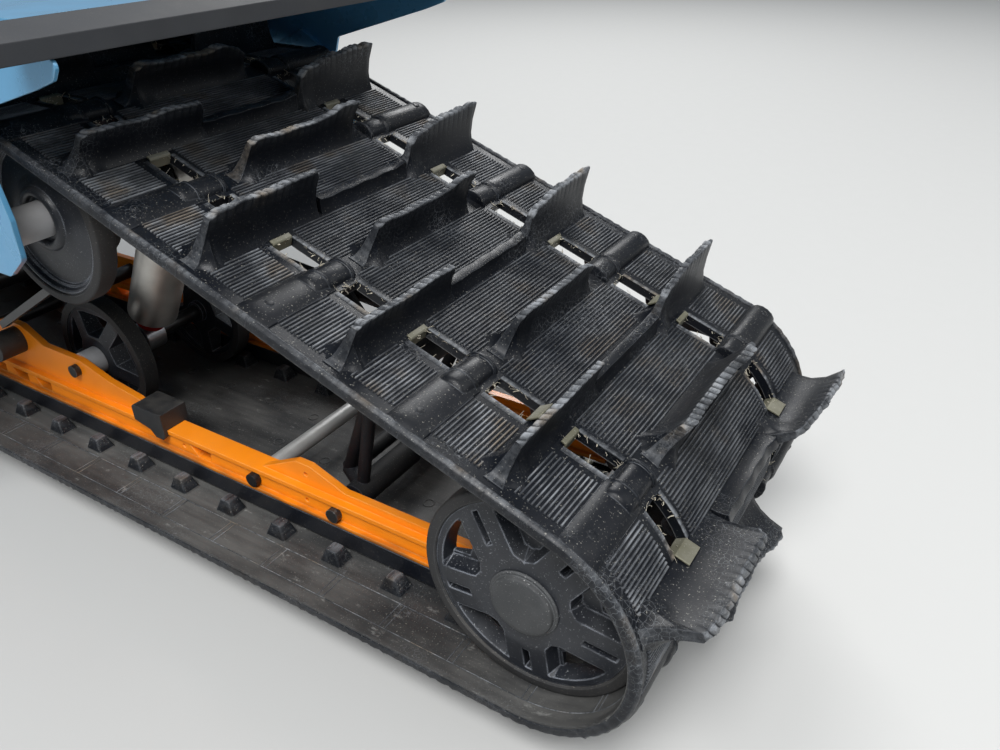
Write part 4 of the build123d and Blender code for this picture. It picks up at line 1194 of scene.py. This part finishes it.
    def mould_lines(self) -> MeshMaker:
        """The left mould lines on the belt's inner face, and one ring of the mould's pins.

        Returns:
            The mesh of closed low bars and a ring.
        """
        maker = MeshMaker()
        bars = [((0.0, 0.1575), (self.pitch, 0.1583), 8), ((0.0, 0.1880), (self.pitch, 0.1886), 8)]
        bars += [((self.pitch * part, 0.1585), (self.pitch * part + 0.0008, 0.1875), 1)
                 for part in (0.46, 0.54)]
        for (x1, y1), (x2, y2), steps in bars:
            profile = ((y1, 0.0004), (y1, -0.0005), (y2, -0.0005), (y2, 0.0004))
            rings = [[(x1 + (x2 - x1) * i / steps, y, z) for y, z in profile] for i in range(steps + 1)]
            maker.loft(rings, marks=[(0.0, 1.0, 1.0, 0.0)] * len(rings))
        x, y, sides = self.pitch * 0.62, 0.030, 14
        ring = ((0.0046, 0.0003), (0.0050, -0.0006), (0.0066, -0.0006), (0.0070, 0.0003))
        maker.loft([[(x + r * math.cos(a), y + r * math.sin(a), z)
                     for a in (2 * math.pi * i / sides for i in range(sides))] for r, z in ring],
                   closed=True, marks=[(0.05,) * sides] * len(ring))
        return maker

    def clip(self, front: bool) -> MeshMaker:
        """One end of the left guide clip, bent round the belt between two windows at an outer paddle.

        Args:
            front: Whether it is the end before the paddle in X; the other is behind it.

        Returns:
            The closed mesh.
        """
        if front:
            edge = self.window_start * self.pitch
            bends = ((-0.010, -0.0012), (-0.001, -0.0014), (0.0014, 0.0004), (0.0016, 0.0090),
                     (-0.0006, 0.0112), (-0.0062, 0.0176))
        else:
            edge = (self.window_end - 1.0) * self.pitch
            bends = ((0.010, -0.0012), (0.001, -0.0014), (-0.0012, 0.0004), (-0.0014, 0.0092),
                     (-0.0004, 0.0106), (0.0034, 0.0112))
        line = [(edge + x, z) for x, z in bends]
        outer, inner = [], []
        for i, (x, z) in enumerate(line):
            near, far = line[max(i - 1, 0)], line[min(i + 1, len(line) - 1)]
            length = math.hypot(far[0] - near[0], far[1] - near[1])
            turn = self.clip_sheet / length * (-1.0 if front else 1.0)
            outer.append((x, z))
            inner.append((x + turn * (far[1] - near[1]), z - turn * (far[0] - near[0])))
        profile = outer + inner[::-1]
        play = 0.0008
        maker = MeshMaker()
        maker.loft([[(x, y, z) for x, z in profile]
                    for y in (self.window_inner + play, self.window_outer - play)])
        return maker


@dataclass
class Track:
    """The endless rubber track, made flat one stretch at a time and wrapped round its wheels.

    In the flat belt X runs along the travel, Y across the machine and Z outwards from the belt's inner face.

    Attributes:
        pitch: The distance between two rods.
        rods: How many rods the loop has.
        first_rod: The first rod's place along the loop.
        width: The belt's width.
        thickness: The belt's thickness.
        lug_height: The CAD model's paddle height, on which the track stands.
        bow_radius: The radius of the bend at the front of the bottom run.
        flat_length: The length of the bottom run.
        drive_teeth: How many teeth a driver has.
        bow_step: The angle between two points of the line where it bends.
        run_step: About how far apart the line's points are on a straight run.
        rear_margin: How far the paddles stay inside the CAD model's rear end.
        seed: Where the noise of the paddles' wear starts.
        mouldings: What is moulded on the belt.
    """

    pitch: float = 0.0726
    rods: int = 54
    first_rod: float = -0.0173
    width: float = 0.4064
    thickness: float = 0.008
    lug_height: float = 0.048
    bow_radius: float = 0.340
    flat_length: float = 1.040
    drive_teeth: int = 8
    bow_step: float = math.radians(1.5)
    run_step: float = 0.012
    rear_margin: float = 0.0002
    seed: float = 3.0
    mouldings: Mouldings = field(default_factory=Mouldings)

    @property
    def inner_z(self) -> float:
        """Height of the bottom run's inner face."""
        return self.thickness + self.lug_height

    def wheels(self) -> list[tuple[float, float, float]]:
        """The circles that the belt's inner face follows, in the order of travel from the rear.

        Returns:
            Each circle's X, Z and radius.
        """
        circles = []
        for node in ("idler_tyre_left", "carrier_tyre_left"):
            low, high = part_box(node)
            middle = centre_of(node)
            circles.append([middle.x, middle.z, (high[0] - low[0]) / 2 + 0.0003])
        idler_x = circles[0][0]
        circles[0][1] = self.inner_z + circles[0][2]
        axle = centre_of("drive_axle")
        driver = self.drive_teeth * self.pitch / (2 * math.pi) - self.thickness / 2
        circles.append([axle.x, axle.z, driver])
        circles.append([idler_x + self.flat_length, self.inner_z + self.bow_radius, self.bow_radius])
        return [tuple(circle) for circle in circles]

    def rod_line(self) -> list[tuple[float, float]]:
        """The line of the rods, half way through the belt, from the start of the sloping top run.

        Returns:
            Its points as (X, Z), close enough together for a smooth bend.
        """
        wheels = self.wheels()
        headings, lengths = [], []
        for (x1, z1, r1), (x2, z2, r2) in zip(wheels, wheels[1:] + wheels[:1]):
            reach = math.hypot(x2 - x1, z2 - z1)
            headings.append(math.atan2(z2 - z1, x2 - x1) - math.asin((r1 - r2) / reach))
            lengths.append(math.sqrt(reach**2 - (r1 - r2) ** 2))
        points: list[tuple[float, float]] = []
        for index in (1, 2, 3, 0):
            run = index - 1
            x, z, radius = wheels[run]
            radius += self.thickness / 2
            heading = headings[run]
            steps = int(lengths[run] / self.run_step)
            for step in range(steps):
                along = lengths[run] * step / steps
                points.append((x - radius * math.sin(heading) + along * math.cos(heading),
                               z + radius * math.cos(heading) + along * math.sin(heading)))
            x, z, radius = wheels[index]
            radius += self.thickness / 2
            turn = (headings[run] - headings[index]) % (2 * math.pi)
            steps = max(2, round(turn / self.bow_step))
            for step in range(steps):
                angle = headings[run] - turn * step / steps
                points.append((x - radius * math.sin(angle), z + radius * math.cos(angle)))
        return points

    def rod_curve(self) -> bpy.types.Object:
        """Makes the rods' line as a closed curve for the wrapping tree.

        Returns:
            The curve's object, which the track deletes once it is built.
        """
        data = bpy.data.curves.new("rod_line", "CURVE")
        data.dimensions = "3D"
        spline = data.splines.new("POLY")
        points = self.rod_line()
        spline.points.add(len(points) - 1)
        for place, (x, z) in zip(spline.points, points):
            place.co = (x, 0.0, z, 1.0)
        spline.use_cyclic_u = True
        curve = bpy.data.objects.new("rod_line", data)
        bpy.context.scene.collection.objects.link(curve)
        return curve

    def wrap_tree(self) -> bpy.types.NodeTree:
        """Makes the Geometry Nodes tree that repeats a flat stretch and wraps it round the rods' line.

        Returns:
            The tree, with named inputs.
        """
        tree = bpy.data.node_groups.new("Wrap round the wheels", "GeometryNodeTree")
        sockets = {"Geometry": "NodeSocketGeometry", "Line": "NodeSocketObject", "Stretch": "NodeSocketObject",
                   "Count": "NodeSocketInt", "Finish": "NodeSocketMaterial"}
        numbers = ("Pitch", "Start", "Half thickness", "Tip height", "Tip wear", "Seed")
        sockets.update({label: "NodeSocketFloat" for label in numbers})
        for label, kind in sockets.items():
            tree.interface.new_socket(label, in_out="INPUT", socket_type=kind)
        tree.interface.new_socket("Geometry", in_out="OUTPUT", socket_type="NodeSocketGeometry")
        graph = Graph(tree)
        given = graph.add("NodeGroupInput").outputs
        start = graph.add("ShaderNodeCombineXYZ", {"X": given["Start"]}).outputs[0]
        offset = graph.add("ShaderNodeCombineXYZ", {"X": given["Pitch"]}).outputs[0]
        values = {"Count": given["Count"], "Start Location": start, "Offset": offset}
        line = graph.add("GeometryNodeMeshLine", values, mode="OFFSET")
        stretch = graph.add("GeometryNodeObjectInfo", {"Object": given["Stretch"]})
        values = {"Points": line.outputs[0], "Instance": stretch.outputs["Geometry"]}
        copies = graph.add("GeometryNodeInstanceOnPoints", values)
        real = graph.add("GeometryNodeRealizeInstances", {0: copies.outputs[0]})
        place = graph.add("GeometryNodeInputPosition").outputs[0]
        kept = graph.add("GeometryNodeStoreNamedAttribute",
                         {"Geometry": real.outputs[0], "Name": "flat", "Value": place},
                         data_type="FLOAT_VECTOR", domain="POINT")
        parts = graph.add("ShaderNodeSeparateXYZ", {0: place}).outputs
        length = graph.math("MULTIPLY", given["Count"], given["Pitch"])
        factor = graph.math("FRACT", graph.math("DIVIDE", parts["X"], length))
        shift = graph.add("ShaderNodeCombineXYZ", {"Y": given["Seed"]}).outputs[0]
        seeded = graph.vector("ADD", place, shift)
        noise = graph.noise(seeded, 70.0)
        tip_start = graph.math("SUBTRACT", given["Tip height"], 0.012)
        near_tip = graph.ramp(parts["Z"], tip_start, given["Tip height"])
        drop = graph.times(graph.math("SUBTRACT", noise, 0.6), given["Tip wear"], near_tip)
        height = graph.math("ADD", graph.math("SUBTRACT", parts["Z"], given["Half thickness"]),
                            graph.math("MINIMUM", drop, 0.0))
        curve = graph.add("GeometryNodeObjectInfo", {"Object": given["Line"]})
        values = {"Curves": curve.outputs["Geometry"], "Factor": factor}
        on_line = graph.add("GeometryNodeSampleCurve", values, mode="FACTOR", use_all_curves=True)
        outward = graph.vector("CROSS_PRODUCT", on_line.outputs["Tangent"], (0.0, 1.0, 0.0))
        raised = graph.add("ShaderNodeVectorMath", {0: outward, "Scale": height}, operation="SCALE")
        across = graph.add("ShaderNodeCombineXYZ", {"Y": parts["Y"]}).outputs[0]
        beside = graph.vector("ADD", on_line.outputs["Position"], across)
        spot = graph.vector("ADD", beside, raised.outputs[0])
        wrapped = graph.add("GeometryNodeSetPosition", {"Geometry": kept.outputs[0], "Position": spot})
        values = {"Geometry": wrapped.outputs[0], "Material": given["Finish"]}
        painted = graph.add("GeometryNodeSetMaterial", values)
        graph.add("NodeGroupOutput", {0: painted.outputs[0]})
        return tree

    def wrap(self, name: str, stretch: bpy.types.Object, finish: Finish, copies: int = 0,
             tip_wear: float = 0.0, smooth: float = 35.0) -> bpy.types.Object:
        """Repeats a flat stretch round the whole loop as one mesh, trimmed to the CAD model's rear end.

        Args:
            name: The new piece's name.
            stretch: The flat stretch's object; it is deleted.
            finish: The piece's finish.
            copies: How many stretches go round; 0 means one for two rods.
            tip_wear: How much the paddles' tips are worn down unevenly.
            smooth: The angle in degrees past which an edge stays sharp.

        Returns:
            The piece.
        """
        copies = copies or self.rods // 2
        holder = bpy.data.objects.new(name, bpy.data.meshes.new(name))
        bpy.context.scene.collection.objects.link(holder)
        modifier = holder.modifiers.new("wrap", "NODES")
        modifier.node_group = self.tree
        values = {"Line": self.line, "Stretch": stretch, "Count": copies,
                  "Pitch": self.rods * self.pitch / copies, "Start": self.first_rod,
                  "Half thickness": self.thickness / 2, "Tip height": self.thickness + self.lug_height,
                  "Tip wear": tip_wear, "Seed": self.seed, "Finish": finish.build()}
        for item in self.tree.interface.items_tree:
            if item.in_out == "INPUT" and item.name in values:
                modifier[item.identifier] = values[item.name]
        depsgraph = bpy.context.evaluated_depsgraph_get()
        mesh = bpy.data.meshes.new_from_object(holder.evaluated_get(depsgraph), depsgraph=depsgraph)
        holder.modifiers.clear()
        holder.data = mesh
        mesh.name = name
        for vertex in mesh.vertices:
            vertex.co.x = max(vertex.co.x, CAD_BOX[0][0] + self.rear_margin)
        merge_doubles(mesh)
        smooth_by_angle(mesh, smooth)
        bpy.data.objects.remove(stretch)
        return holder

    def belt_stretch(self) -> bpy.types.Object:
        """Makes two pitches of the belt sheet with its windows.

        Returns:
            The flat stretch's object.
        """
        half = self.width / 2
        inner, outer = self.mouldings.window_inner, self.mouldings.window_outer
        start, end = self.mouldings.window_start, self.mouldings.window_end
        lines_y = [-half, -outer, -inner, inner, outer, half]
        lines_x = []
        for k in range(2):
            for part in (0.0, 0.1, start, 0.34, 0.475, 0.61, end, 0.875):
                lines_x.append((k + part) * self.pitch)
        lines_x.append(2 * self.pitch)
        maker = MeshMaker()
        index = {}
        for level, z in enumerate((0.0, self.thickness)):
            for i, x in enumerate(lines_x):
                for j, y in enumerate(lines_y):
                    index[level, i, j] = len(maker.points)
                    maker.points.append((x, y, z))

        def solid(i: int, j: int) -> bool:
            """Whether the belt fills a cell between two lines each way."""
            if not 0 <= j < len(lines_y) - 1:
                return False
            part = lines_x[i % (len(lines_x) - 1)] / self.pitch % 1
            open_here = start - 0.01 < part < end - 0.01
            return not (open_here and j in (1, 3))

        for i in range(len(lines_x) - 1):
            for j in range(len(lines_y) - 1):
                if not solid(i, j):
                    continue
                corners = ((i, j), (i + 1, j), (i + 1, j + 1), (i, j + 1))
                maker.faces.append(tuple(index[1, a, b] for a, b in corners))
                maker.faces.append(tuple(index[0, a, b] for a, b in reversed(corners)))
                walls = (((i, j), (i, j + 1), i - 1, j), ((i + 1, j + 1), (i + 1, j), i + 1, j),
                         ((i + 1, j), (i, j), i, j - 1), ((i, j + 1), (i + 1, j + 1), i, j + 1))
                for (a, b), (c, d), beside_i, beside_j in walls:
                    if not solid(beside_i, beside_j):
                        maker.faces.append((index[0, a, b], index[0, c, d], index[1, c, d], index[1, a, b]))
        return maker.to_object("belt_stretch", outward=False)

    def both_sides(self, maker: MeshMaker) -> MeshMaker:
        """Adds the mirror image to a left moulding.

        Args:
            maker: The left moulding.

        Returns:
            The same maker.
        """
        maker.mirror_y()
        return maker

    def paddle_stretch(self, centre: bool) -> bpy.types.Object:
        """Makes the paddles of six pitches: the centre ones on even rods, or the outer ones on odd rods.

        Args:
            centre: Whether it is the centre paddle.

        Returns:
            The flat stretch's object.
        """
        maker = MeshMaker()
        for i, row in enumerate(Paddles.CENTRE_ROW if centre else Paddles.OUTER_ROW):
            for paddle in row:
                maker.include(self.mouldings.paddle(paddle), ((2 * i + (not centre)) * self.pitch, 0.0, 0.0))
        return maker.to_object("paddle_stretch")

    def moulding_stretch(self) -> bpy.types.Object:
        """Makes the low mouldings of two pitches: ribs, rod covers, sleeves, ridge, beads and drive lugs.

        Returns:
            The flat stretch's object.
        """
        maker = MeshMaker()
        for side in Side:
            maker.include(self.mouldings.rod_cover(side))
        maker.include(self.both_sides(self.mouldings.sleeve()))
        maker.include(self.mouldings.low_ridge(), (self.pitch, 0.0, 0.0))
        for k in range(2):
            place = (k * self.pitch, 0.0, 0.0)
            maker.include(self.mouldings.ribs(), place)
            maker.include(self.both_sides(self.mouldings.edge_bead()), place)
            maker.include(self.both_sides(self.mouldings.lug_blocks()), place)
            maker.include(self.both_sides(self.mouldings.window_frames()), place)
            maker.include(self.both_sides(self.mouldings.mould_lines()), place)
        return maker.to_object("moulding_stretch")

    def clip_stretch(self) -> bpy.types.Object:
        """Makes the guide clips of two pitches.

        Returns:
            The flat stretch's object.
        """
        maker = MeshMaker()
        for front in (True, False):
            maker.include(self.both_sides(self.mouldings.clip(front)), (self.pitch, 0.0, 0.0))
        return maker.to_object("clip_stretch")

    def fibre_stretch(self, pitches: int) -> bpy.types.Object:
        """Makes the frayed cords at the windows' edges.

        Args:
            pitches: How many pitches the stretch has.

        Returns:
            The flat stretch's object.
        """
        maker = MeshMaker()
        chance = Random(11)
        shape = self.mouldings
        for k in range(pitches):
            for side in (-1, 1):
                for _ in range(34):
                    at_front = chance.random() < 0.6
                    x = (k + (shape.window_end if at_front else shape.window_start)) * self.pitch
                    if chance.random() < 0.45:
                        x = (k + chance.uniform(shape.window_start, shape.window_end)) * self.pitch
                        y = shape.window_inner if chance.random() < 0.6 else shape.window_outer
                    else:
                        y = chance.uniform(shape.window_inner, shape.window_outer)
                    z = chance.uniform(0.0058, 0.0088)
                    line = [(x, side * y, z)]
                    lean = (chance.uniform(-1, 1), chance.uniform(-1, 1), chance.uniform(-0.3, 0.8))
                    for _ in range(3):
                        lean = tuple(c + chance.uniform(-0.7, 0.7) for c in lean)
                        line.append(tuple(a + 0.0011 * b for a, b in zip(line[-1], lean)))
                    maker.tube(line, chance.choice((0.00025, 0.0003, 0.0004, 0.0006)), 3)
        return maker.to_object("fibre_stretch")

    def build(self) -> list[bpy.types.Object]:
        """Builds the track's pieces.

        Returns:
            The pieces.
        """
        self.line = self.rod_curve()
        self.tree = self.wrap_tree()
        rubber, sixths = Finishes.TRACK, self.rods // 6
        pieces = [
            self.wrap("track_belt", self.belt_stretch(), rubber),
            self.wrap("track_centre_paddles", self.paddle_stretch(True), rubber, sixths, 0.01, 58.0),
            self.wrap("track_outer_paddles", self.paddle_stretch(False), rubber, sixths, 0.01, 58.0),
            self.wrap("track_mouldings", self.moulding_stretch(), rubber),
            self.wrap("track_clips", self.clip_stretch(), Finishes.BRASS),
            self.wrap("track_fibres", self.fibre_stretch(6), Finishes.FIBRE, sixths),
        ]
        bpy.data.objects.remove(self.line)
        for piece in pieces:
            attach(piece, BODY)
            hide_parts("track")
        return pieces


def circle(centre: Vector, radius: float, y: float, sides: int) -> list[Point]:
    """One ring of points round an axle.

    Args:
        centre: The axle's middle.
        radius: The ring's radius.
        y: Its place across the machine.
        sides: How many points it has.

    Returns:
        The points.
    """
    return [(centre.x + radius * math.sin(a), y, centre.z + radius * math.cos(a))
            for a in (2 * math.pi * i / sides for i in range(sides))]


@dataclass
class Wheel:
    """A pair of wheels: a disc and a rounded tyre on the left, and their mirror images on the right.

    Attributes:
        name: How the names of the wheel's CAD nodes start.
        tyre_thickness: The tyre's thickness.
        face_step: How far the disc's faces lie inside the tyre's.
    """

    name: str = "wheel"
    tyre_thickness: float = 0.010
    face_step: float = 0.002

    def disc(self, middle: Vector, inner: float, rim: float) -> MeshMaker:
        """The left wheel without its tyre.

        Args:
            middle: The axle's middle.
            inner: The disc's inner face across the machine.
            rim: The rim's outer face across the machine.

        Returns:
            The closed mesh.
        """
        raise NotImplementedError

    def tyre(self, middle: Vector, inner: float, outer: float, radius: float, thick: float) -> MeshMaker:
        """A rounded tyre.

        Args:
            middle: The axle's middle.
            inner: Its inner face across the machine.
            outer: Its outer face across the machine.
            radius: Its outer radius.
            thick: How thick it is.

        Returns:
            The closed mesh.
        """
        round_off = 0.0028
        profile = [(radius - thick, inner), (radius - round_off, inner)]
        for centre_y, first in ((inner + round_off, -90.0), (outer - round_off, 0.0)):
            for step in (0.25, 0.5, 0.75, 1.0):
                turn = math.radians(first + 90.0 * step)
                profile.append((radius - round_off + round_off * math.cos(turn),
                                centre_y + round_off * math.sin(turn)))
        profile += [(radius - thick + 0.0012, outer), (radius - thick, outer - 0.0012)]
        maker = MeshMaker()
        maker.loft([circle(middle, r, y, 96) for r, y in profile], closed=True)
        return maker

    def parts(self) -> list[tuple[MeshMaker, str, Finish, str]]:
        """The left wheel's parts.

        Returns:
            Each part's mesh, name, finish and material slot.
        """
        low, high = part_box(f"{self.name}_tyre_left")
        middle = centre_of(f"{self.name}_tyre_left")
        radius = (high[0] - low[0]) / 2
        disc = self.disc(middle, low[1] + self.face_step, high[1] - self.face_step)
        tyre = self.tyre(middle, low[1], high[1], radius, self.tyre_thickness)
        return [(disc, "wheel", Finishes.WHEEL, "wheel_plastic"),
                (tyre, "tyre", Finishes.TYRE, "wheel_rubber")]

    def build(self) -> list[bpy.types.Object]:
        """Builds both wheels' parts in place of the CAD's.

        Returns:
            The pieces.
        """
        pieces = []
        for maker, part, finish, slot in self.parts():
            maker.mirror_y()
            piece = maker.to_object(f"{self.name}_{part}_looks")
            smooth_by_angle(piece.data, 38.0)
            piece.data.materials.append(finish.build())
            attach(piece, BODY)
            if part == "caps":
                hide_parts(f"{self.name}_caps")
            else:
                for side in Side:
                    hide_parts(f"{self.name}_{part}{side.suffix}")
            pieces.append(piece)
        return pieces


@dataclass
class DishedWheel(Wheel):
    """The carrier wheel's looks: a closed dished disc with a raised hub ring and a grooved rim."""

    name: str = "carrier"
    bore: float = 0.0106
    outer_face: tuple[tuple[float, float], ...] = (
        (0.0212, -0.0045), (0.0218, -0.0004), (0.0232, 0.0012), (0.0256, 0.0017), (0.0282, 0.0011),
        (0.0300, -0.0008),
        (0.0312, -0.0032), (0.0345, -0.0046), (0.0420, -0.0056), (0.0530, -0.0066), (0.0630, -0.0074),
        (0.0652, -0.0073), (0.0662, -0.0052), (0.0682, -0.0048), (0.0692, -0.0030), (0.0702, -0.0006),
        (0.0720, 0.0004),
        (0.0738, -0.0002))
    inner_face: tuple[tuple[float, float], ...] = (
        (0.0700, 0.0010), (0.0680, 0.0030), (0.0420, 0.0026), (0.0310, 0.0))

    def disc(self, middle: Vector, inner: float, rim: float) -> MeshMaker:
        """The left wheel without its tyre.

        Args:
            middle: The axle's middle.
            inner: The disc's inner face across the machine.
            rim: The rim's outer face across the machine.

        Returns:
            The closed mesh.
        """
        profile = [(self.bore, inner), (self.bore, rim - 0.0045)]
        profile += [(r, rim + y) for r, y in self.outer_face] + [(r, inner + y) for r, y in self.inner_face]
        maker = MeshMaker()
        maker.loft([circle(middle, r, y, 80) for r, y in profile], closed=True)
        return maker


@dataclass
class SpokedWheel(Wheel):
    """The rear idler's looks: pockets with sloping walls, slotted spokes, a rounded tyre and a domed cap.

    Places across the machine are the left wheel's; the right one is its mirror image.
    """

    name: str = "idler"
    spokes: int = 5
    first_spoke: float = -18.0
    spoke_half: float = 0.0185
    slot_half: float = 0.0031
    wall: float = 0.0042
    ledge: float = 0.0072
    radii: tuple[float, ...] = (
        0.0245, 0.0300, 0.0440, 0.0480, 0.0520, 0.0590, 0.0765, 0.0790, 0.0815, 0.0852)
    bulges: tuple[float, ...] = (0.0, 0.0, -0.0050, -0.0040, -0.0020, -0.0010, 0.0, 0.0, 0.0, 0.0)
    pocket: tuple[int, int] = (2, 7)
    window: tuple[int, int] = (5, 6)
    slot: tuple[int, int] = (4, 7)
    depth: float = 0.0125
    hub: float = 0.046
    dish: float = 0.0068
    cap: tuple[tuple[float, float], ...] = (
        (0.0295, 0.0), (0.0298, 0.0016), (0.0290, 0.0024), (0.0270, 0.0026), (0.0266, 0.0034),
        (0.0266, 0.0056), (0.0262, 0.0062), (0.0252, 0.0067), (0.0205, 0.0069))

    def angle(self, line: tuple, radius: float) -> float:
        """Where a line of the wheel's grid lies at a radius.

        Args:
            line: Two spokes' directions, the line's offset from each and its share between them.
            radius: The radius.

        Returns:
            The angle.
        """
        radius = max(radius, self.radii[self.pocket[0]])
        first, low, second, high, share = line
        a, b = first + math.asin(low / radius), second + math.asin(high / radius)
        return a + (b - a) * share

    def lines(self) -> list[tuple]:
        """The grid's lines that run outwards, once round the wheel.

        Returns:
            Each line, with its share of the way across a pocket or None on a spoke.
        """
        turn = 2 * math.pi / self.spokes
        found = []
        half = self.spoke_half
        for i in range(self.spokes):
            here = math.radians(self.first_spoke) + i * turn
            there = here + turn
            for offset in (-self.slot_half, self.slot_half):
                found.append(((here, offset, here, offset, 0.0), None))
            found.append(((here, half, there, -half, 0.0), 0.0))
            for extra, share in ((self.wall, 0.12), (self.ledge, 0.2)):
                found.append(((here, half + extra, there, -half - extra, 0.0), share))
            for share in (0.1, 0.25, 0.4, 0.6, 0.75, 0.9):
                low = half + self.ledge
                found.append(((here, low, there, -low, share), 0.2 + 0.6 * share))
            for extra, share in ((self.ledge, 0.8), (self.wall, 0.88)):
                found.append(((here, half + extra, there, -half - extra, 1.0), share))
            found.append(((here, half, there, -half, 1.0), 1.0))
        return found

    def face(self, radius: float) -> float:
        """How far the spokes' face stands out over the rim's face.

        Args:
            radius: Where it is measured.

        Returns:
            The distance.
        """
        return self.dish * (1.0 - min(1.0, max(0.0, (radius - self.hub) / (self.radii[-2] - self.hub))))

    def disc(self, middle: Vector, inner: float, rim: float) -> MeshMaker:
        """The left wheel without its tyre.

        Args:
            middle: The axle's middle.
            inner: The disc's inner face across the machine.
            rim: The rim's outer face across the machine.

        Returns:
            The closed mesh.
        """
        maker = MeshMaker()
        lines = self.lines()
        rows, columns = len(self.radii), len(lines)
        front, back = {}, {}
        for j, (line, share) in enumerate(lines):
            for i, radius in enumerate(self.radii):
                across = 0.0 if share is None else 1.0 - (2.0 * share - 1.0) ** 2
                radius += self.bulges[i] * across
                angle = self.angle(line, self.radii[i])
                sunk = self.pocket[0] < i < self.pocket[1] and share is not None and 0.0 < share < 1.0
                y = rim + self.face(radius) - (self.depth if sunk else 0.0)
                spot = (middle.x + radius * math.cos(angle), middle.z + radius * math.sin(angle))
                for place, level in ((front, y), (back, inner)):
                    place[i, j % columns] = len(maker.points)
                    maker.points.append((spot[0], level, spot[1]))

        def solid(i: int, j: int) -> bool:
            """Whether the disc fills a cell of the grid."""
            if not 0 <= i < rows - 1:
                return False
            first, second = lines[j % columns][1], lines[(j + 1) % columns][1]
            if first is None and second is None:
                return not self.slot[0] <= i < self.slot[1]
            inside = None not in (first, second) and 0.19 <= first < second <= 0.81
            return not (inside and self.window[0] <= i < self.window[1])

        for i in range(rows - 1):
            for j in range(columns):
                if not solid(i, j):
                    continue
                k = (j + 1) % columns
                corners = ((i, j), (i + 1, j), (i + 1, k), (i, k))
                maker.faces.append(tuple(front[c] for c in corners))
                maker.faces.append(tuple(back[c] for c in reversed(corners)))
                walls = (((i, j), (i, k), i - 1, j), ((i + 1, k), (i + 1, j), i + 1, j),
                         ((i + 1, j), (i, j), i, j - 1), ((i, k), (i + 1, k), i, j + 1))
                for a, b, beside_i, beside_j in walls:
                    if not solid(beside_i, beside_j):
                        maker.faces.append((back[a], back[b], front[b], front[a]))
        return maker

    def parts(self) -> list[tuple[MeshMaker, str, Finish, str]]:
        """The left wheel's parts, with its cap.

        Returns:
            Each part's mesh, name, finish and material slot.
        """
        low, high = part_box(f"{self.name}_tyre_left")
        face = high[1] - self.face_step + self.dish - 0.0004
        cap = MeshMaker()
        cap.loft([circle(centre_of(f"{self.name}_tyre_left"), r, face + y, 64) for r, y in self.cap])
        return super().parts() + [(cap, "caps", Finishes.CAP, "cap_plastic")]


def merge_doubles(mesh: bpy.types.Mesh, distance: float = 1e-5) -> None:
    """Joins vertices that lie on one another.

    Args:
        mesh: The mesh.
        distance: How close two vertices are joined.
    """
    work = bmesh.new()
    work.from_mesh(mesh)
    bmesh.ops.remove_doubles(work, verts=work.verts, dist=distance)
    work.to_mesh(mesh)
    work.free()


@dataclass
class Studio:
    """The floor, the lamps, the world and the camera."""

    eye: Point = (-1.052, 0.562, 0.617)
    right: Point = (-0.84841, -0.52905, -0.01754)
    up: Point = (0.25847, -0.44296, 0.85848)
    lens: float = 29.9
    sensor: float = 36.0
    sky: Colour = (0.84, 0.92, 1.0)
    sky_strength: float = 0.26
    aim: Point = (-0.3, 0.0, 0.2)

    def build(self) -> None:
        """Builds everything that isn't part of the object."""
        self.floor()
        self.world()
        self.lamp("key", (-1.5, 2.2, 3.8), 1.9, 235.0)
        self.lamp("fill", (-3.4, -1.2, 2.6), 3.0, 45.0)
        self.lamp("rim", (0.9, -3.4, 3.4), 1.8, 130.0)
        self.camera()

    def floor(self) -> None:
        """Lays the plain pale floor."""
        maker = MeshMaker()
        reach = 8.0
        maker.points = [(reach * x, reach * y, 0.0) for x, y in ((-1, -1), (1, -1), (1, 1), (-1, 1))]
        maker.faces = [(0, 1, 2, 3)]
        floor = maker.to_object("floor", outward=False)
        floor.data.materials.append(Finishes.FLOOR.build())

    def world(self) -> None:
        """Sets the even studio light."""
        world = bpy.data.worlds.new("studio")
        bpy.context.scene.world = world
        world.use_nodes = True
        background = world.node_tree.nodes["Background"]
        background.inputs[0].default_value = (*self.sky, 1.0)
        background.inputs[1].default_value = self.sky_strength

    def lamp(self, name: str, place: Point, size: float, power: float) -> None:
        """Adds one soft lamp that points at the machine.

        Args:
            name: The lamp's name.
            place: Where it hangs.
            size: Its width.
            power: Its power in watts.
        """
        data = bpy.data.lights.new(name, "AREA")
        data.size = size
        data.energy = power
        lamp = bpy.data.objects.new(name, data)
        bpy.context.scene.collection.objects.link(lamp)
        beam = Vector(self.aim) - Vector(place)
        lamp.matrix_world = Matrix.Translation(place) @ beam.to_track_quat("-Z", "Y").to_matrix().to_4x4()

    def camera(self) -> None:
        """Sets the camera where the photograph was taken from."""
        data = bpy.data.cameras.new("camera")
        data.lens = self.lens
        data.sensor_width = self.sensor
        camera = bpy.data.objects.new("camera", data)
        bpy.context.scene.collection.objects.link(camera)
        right, up = Vector(self.right), Vector(self.up)
        turn = Matrix((right, up, right.cross(up))).transposed().to_4x4()
        camera.matrix_world = Matrix.Translation(self.eye) @ turn
        bpy.context.scene.camera = camera


def main() -> None:
    """Builds the looks in order and reports each piece."""
    logging.basicConfig(level=logging.INFO, format="%(message)s")
    bpy.context.scene.view_settings.view_transform = "Standard"
    LOG.info("%d CAD nodes dressed", dress_cad_nodes())
    for piece in [*Track().build(), *SpokedWheel().build(), *DishedWheel().build()]:
        LOG.info("%s: %d faces", piece.name, len(piece.data.polygons))
    Studio().build()


if __name__ == "__main__":
    main()
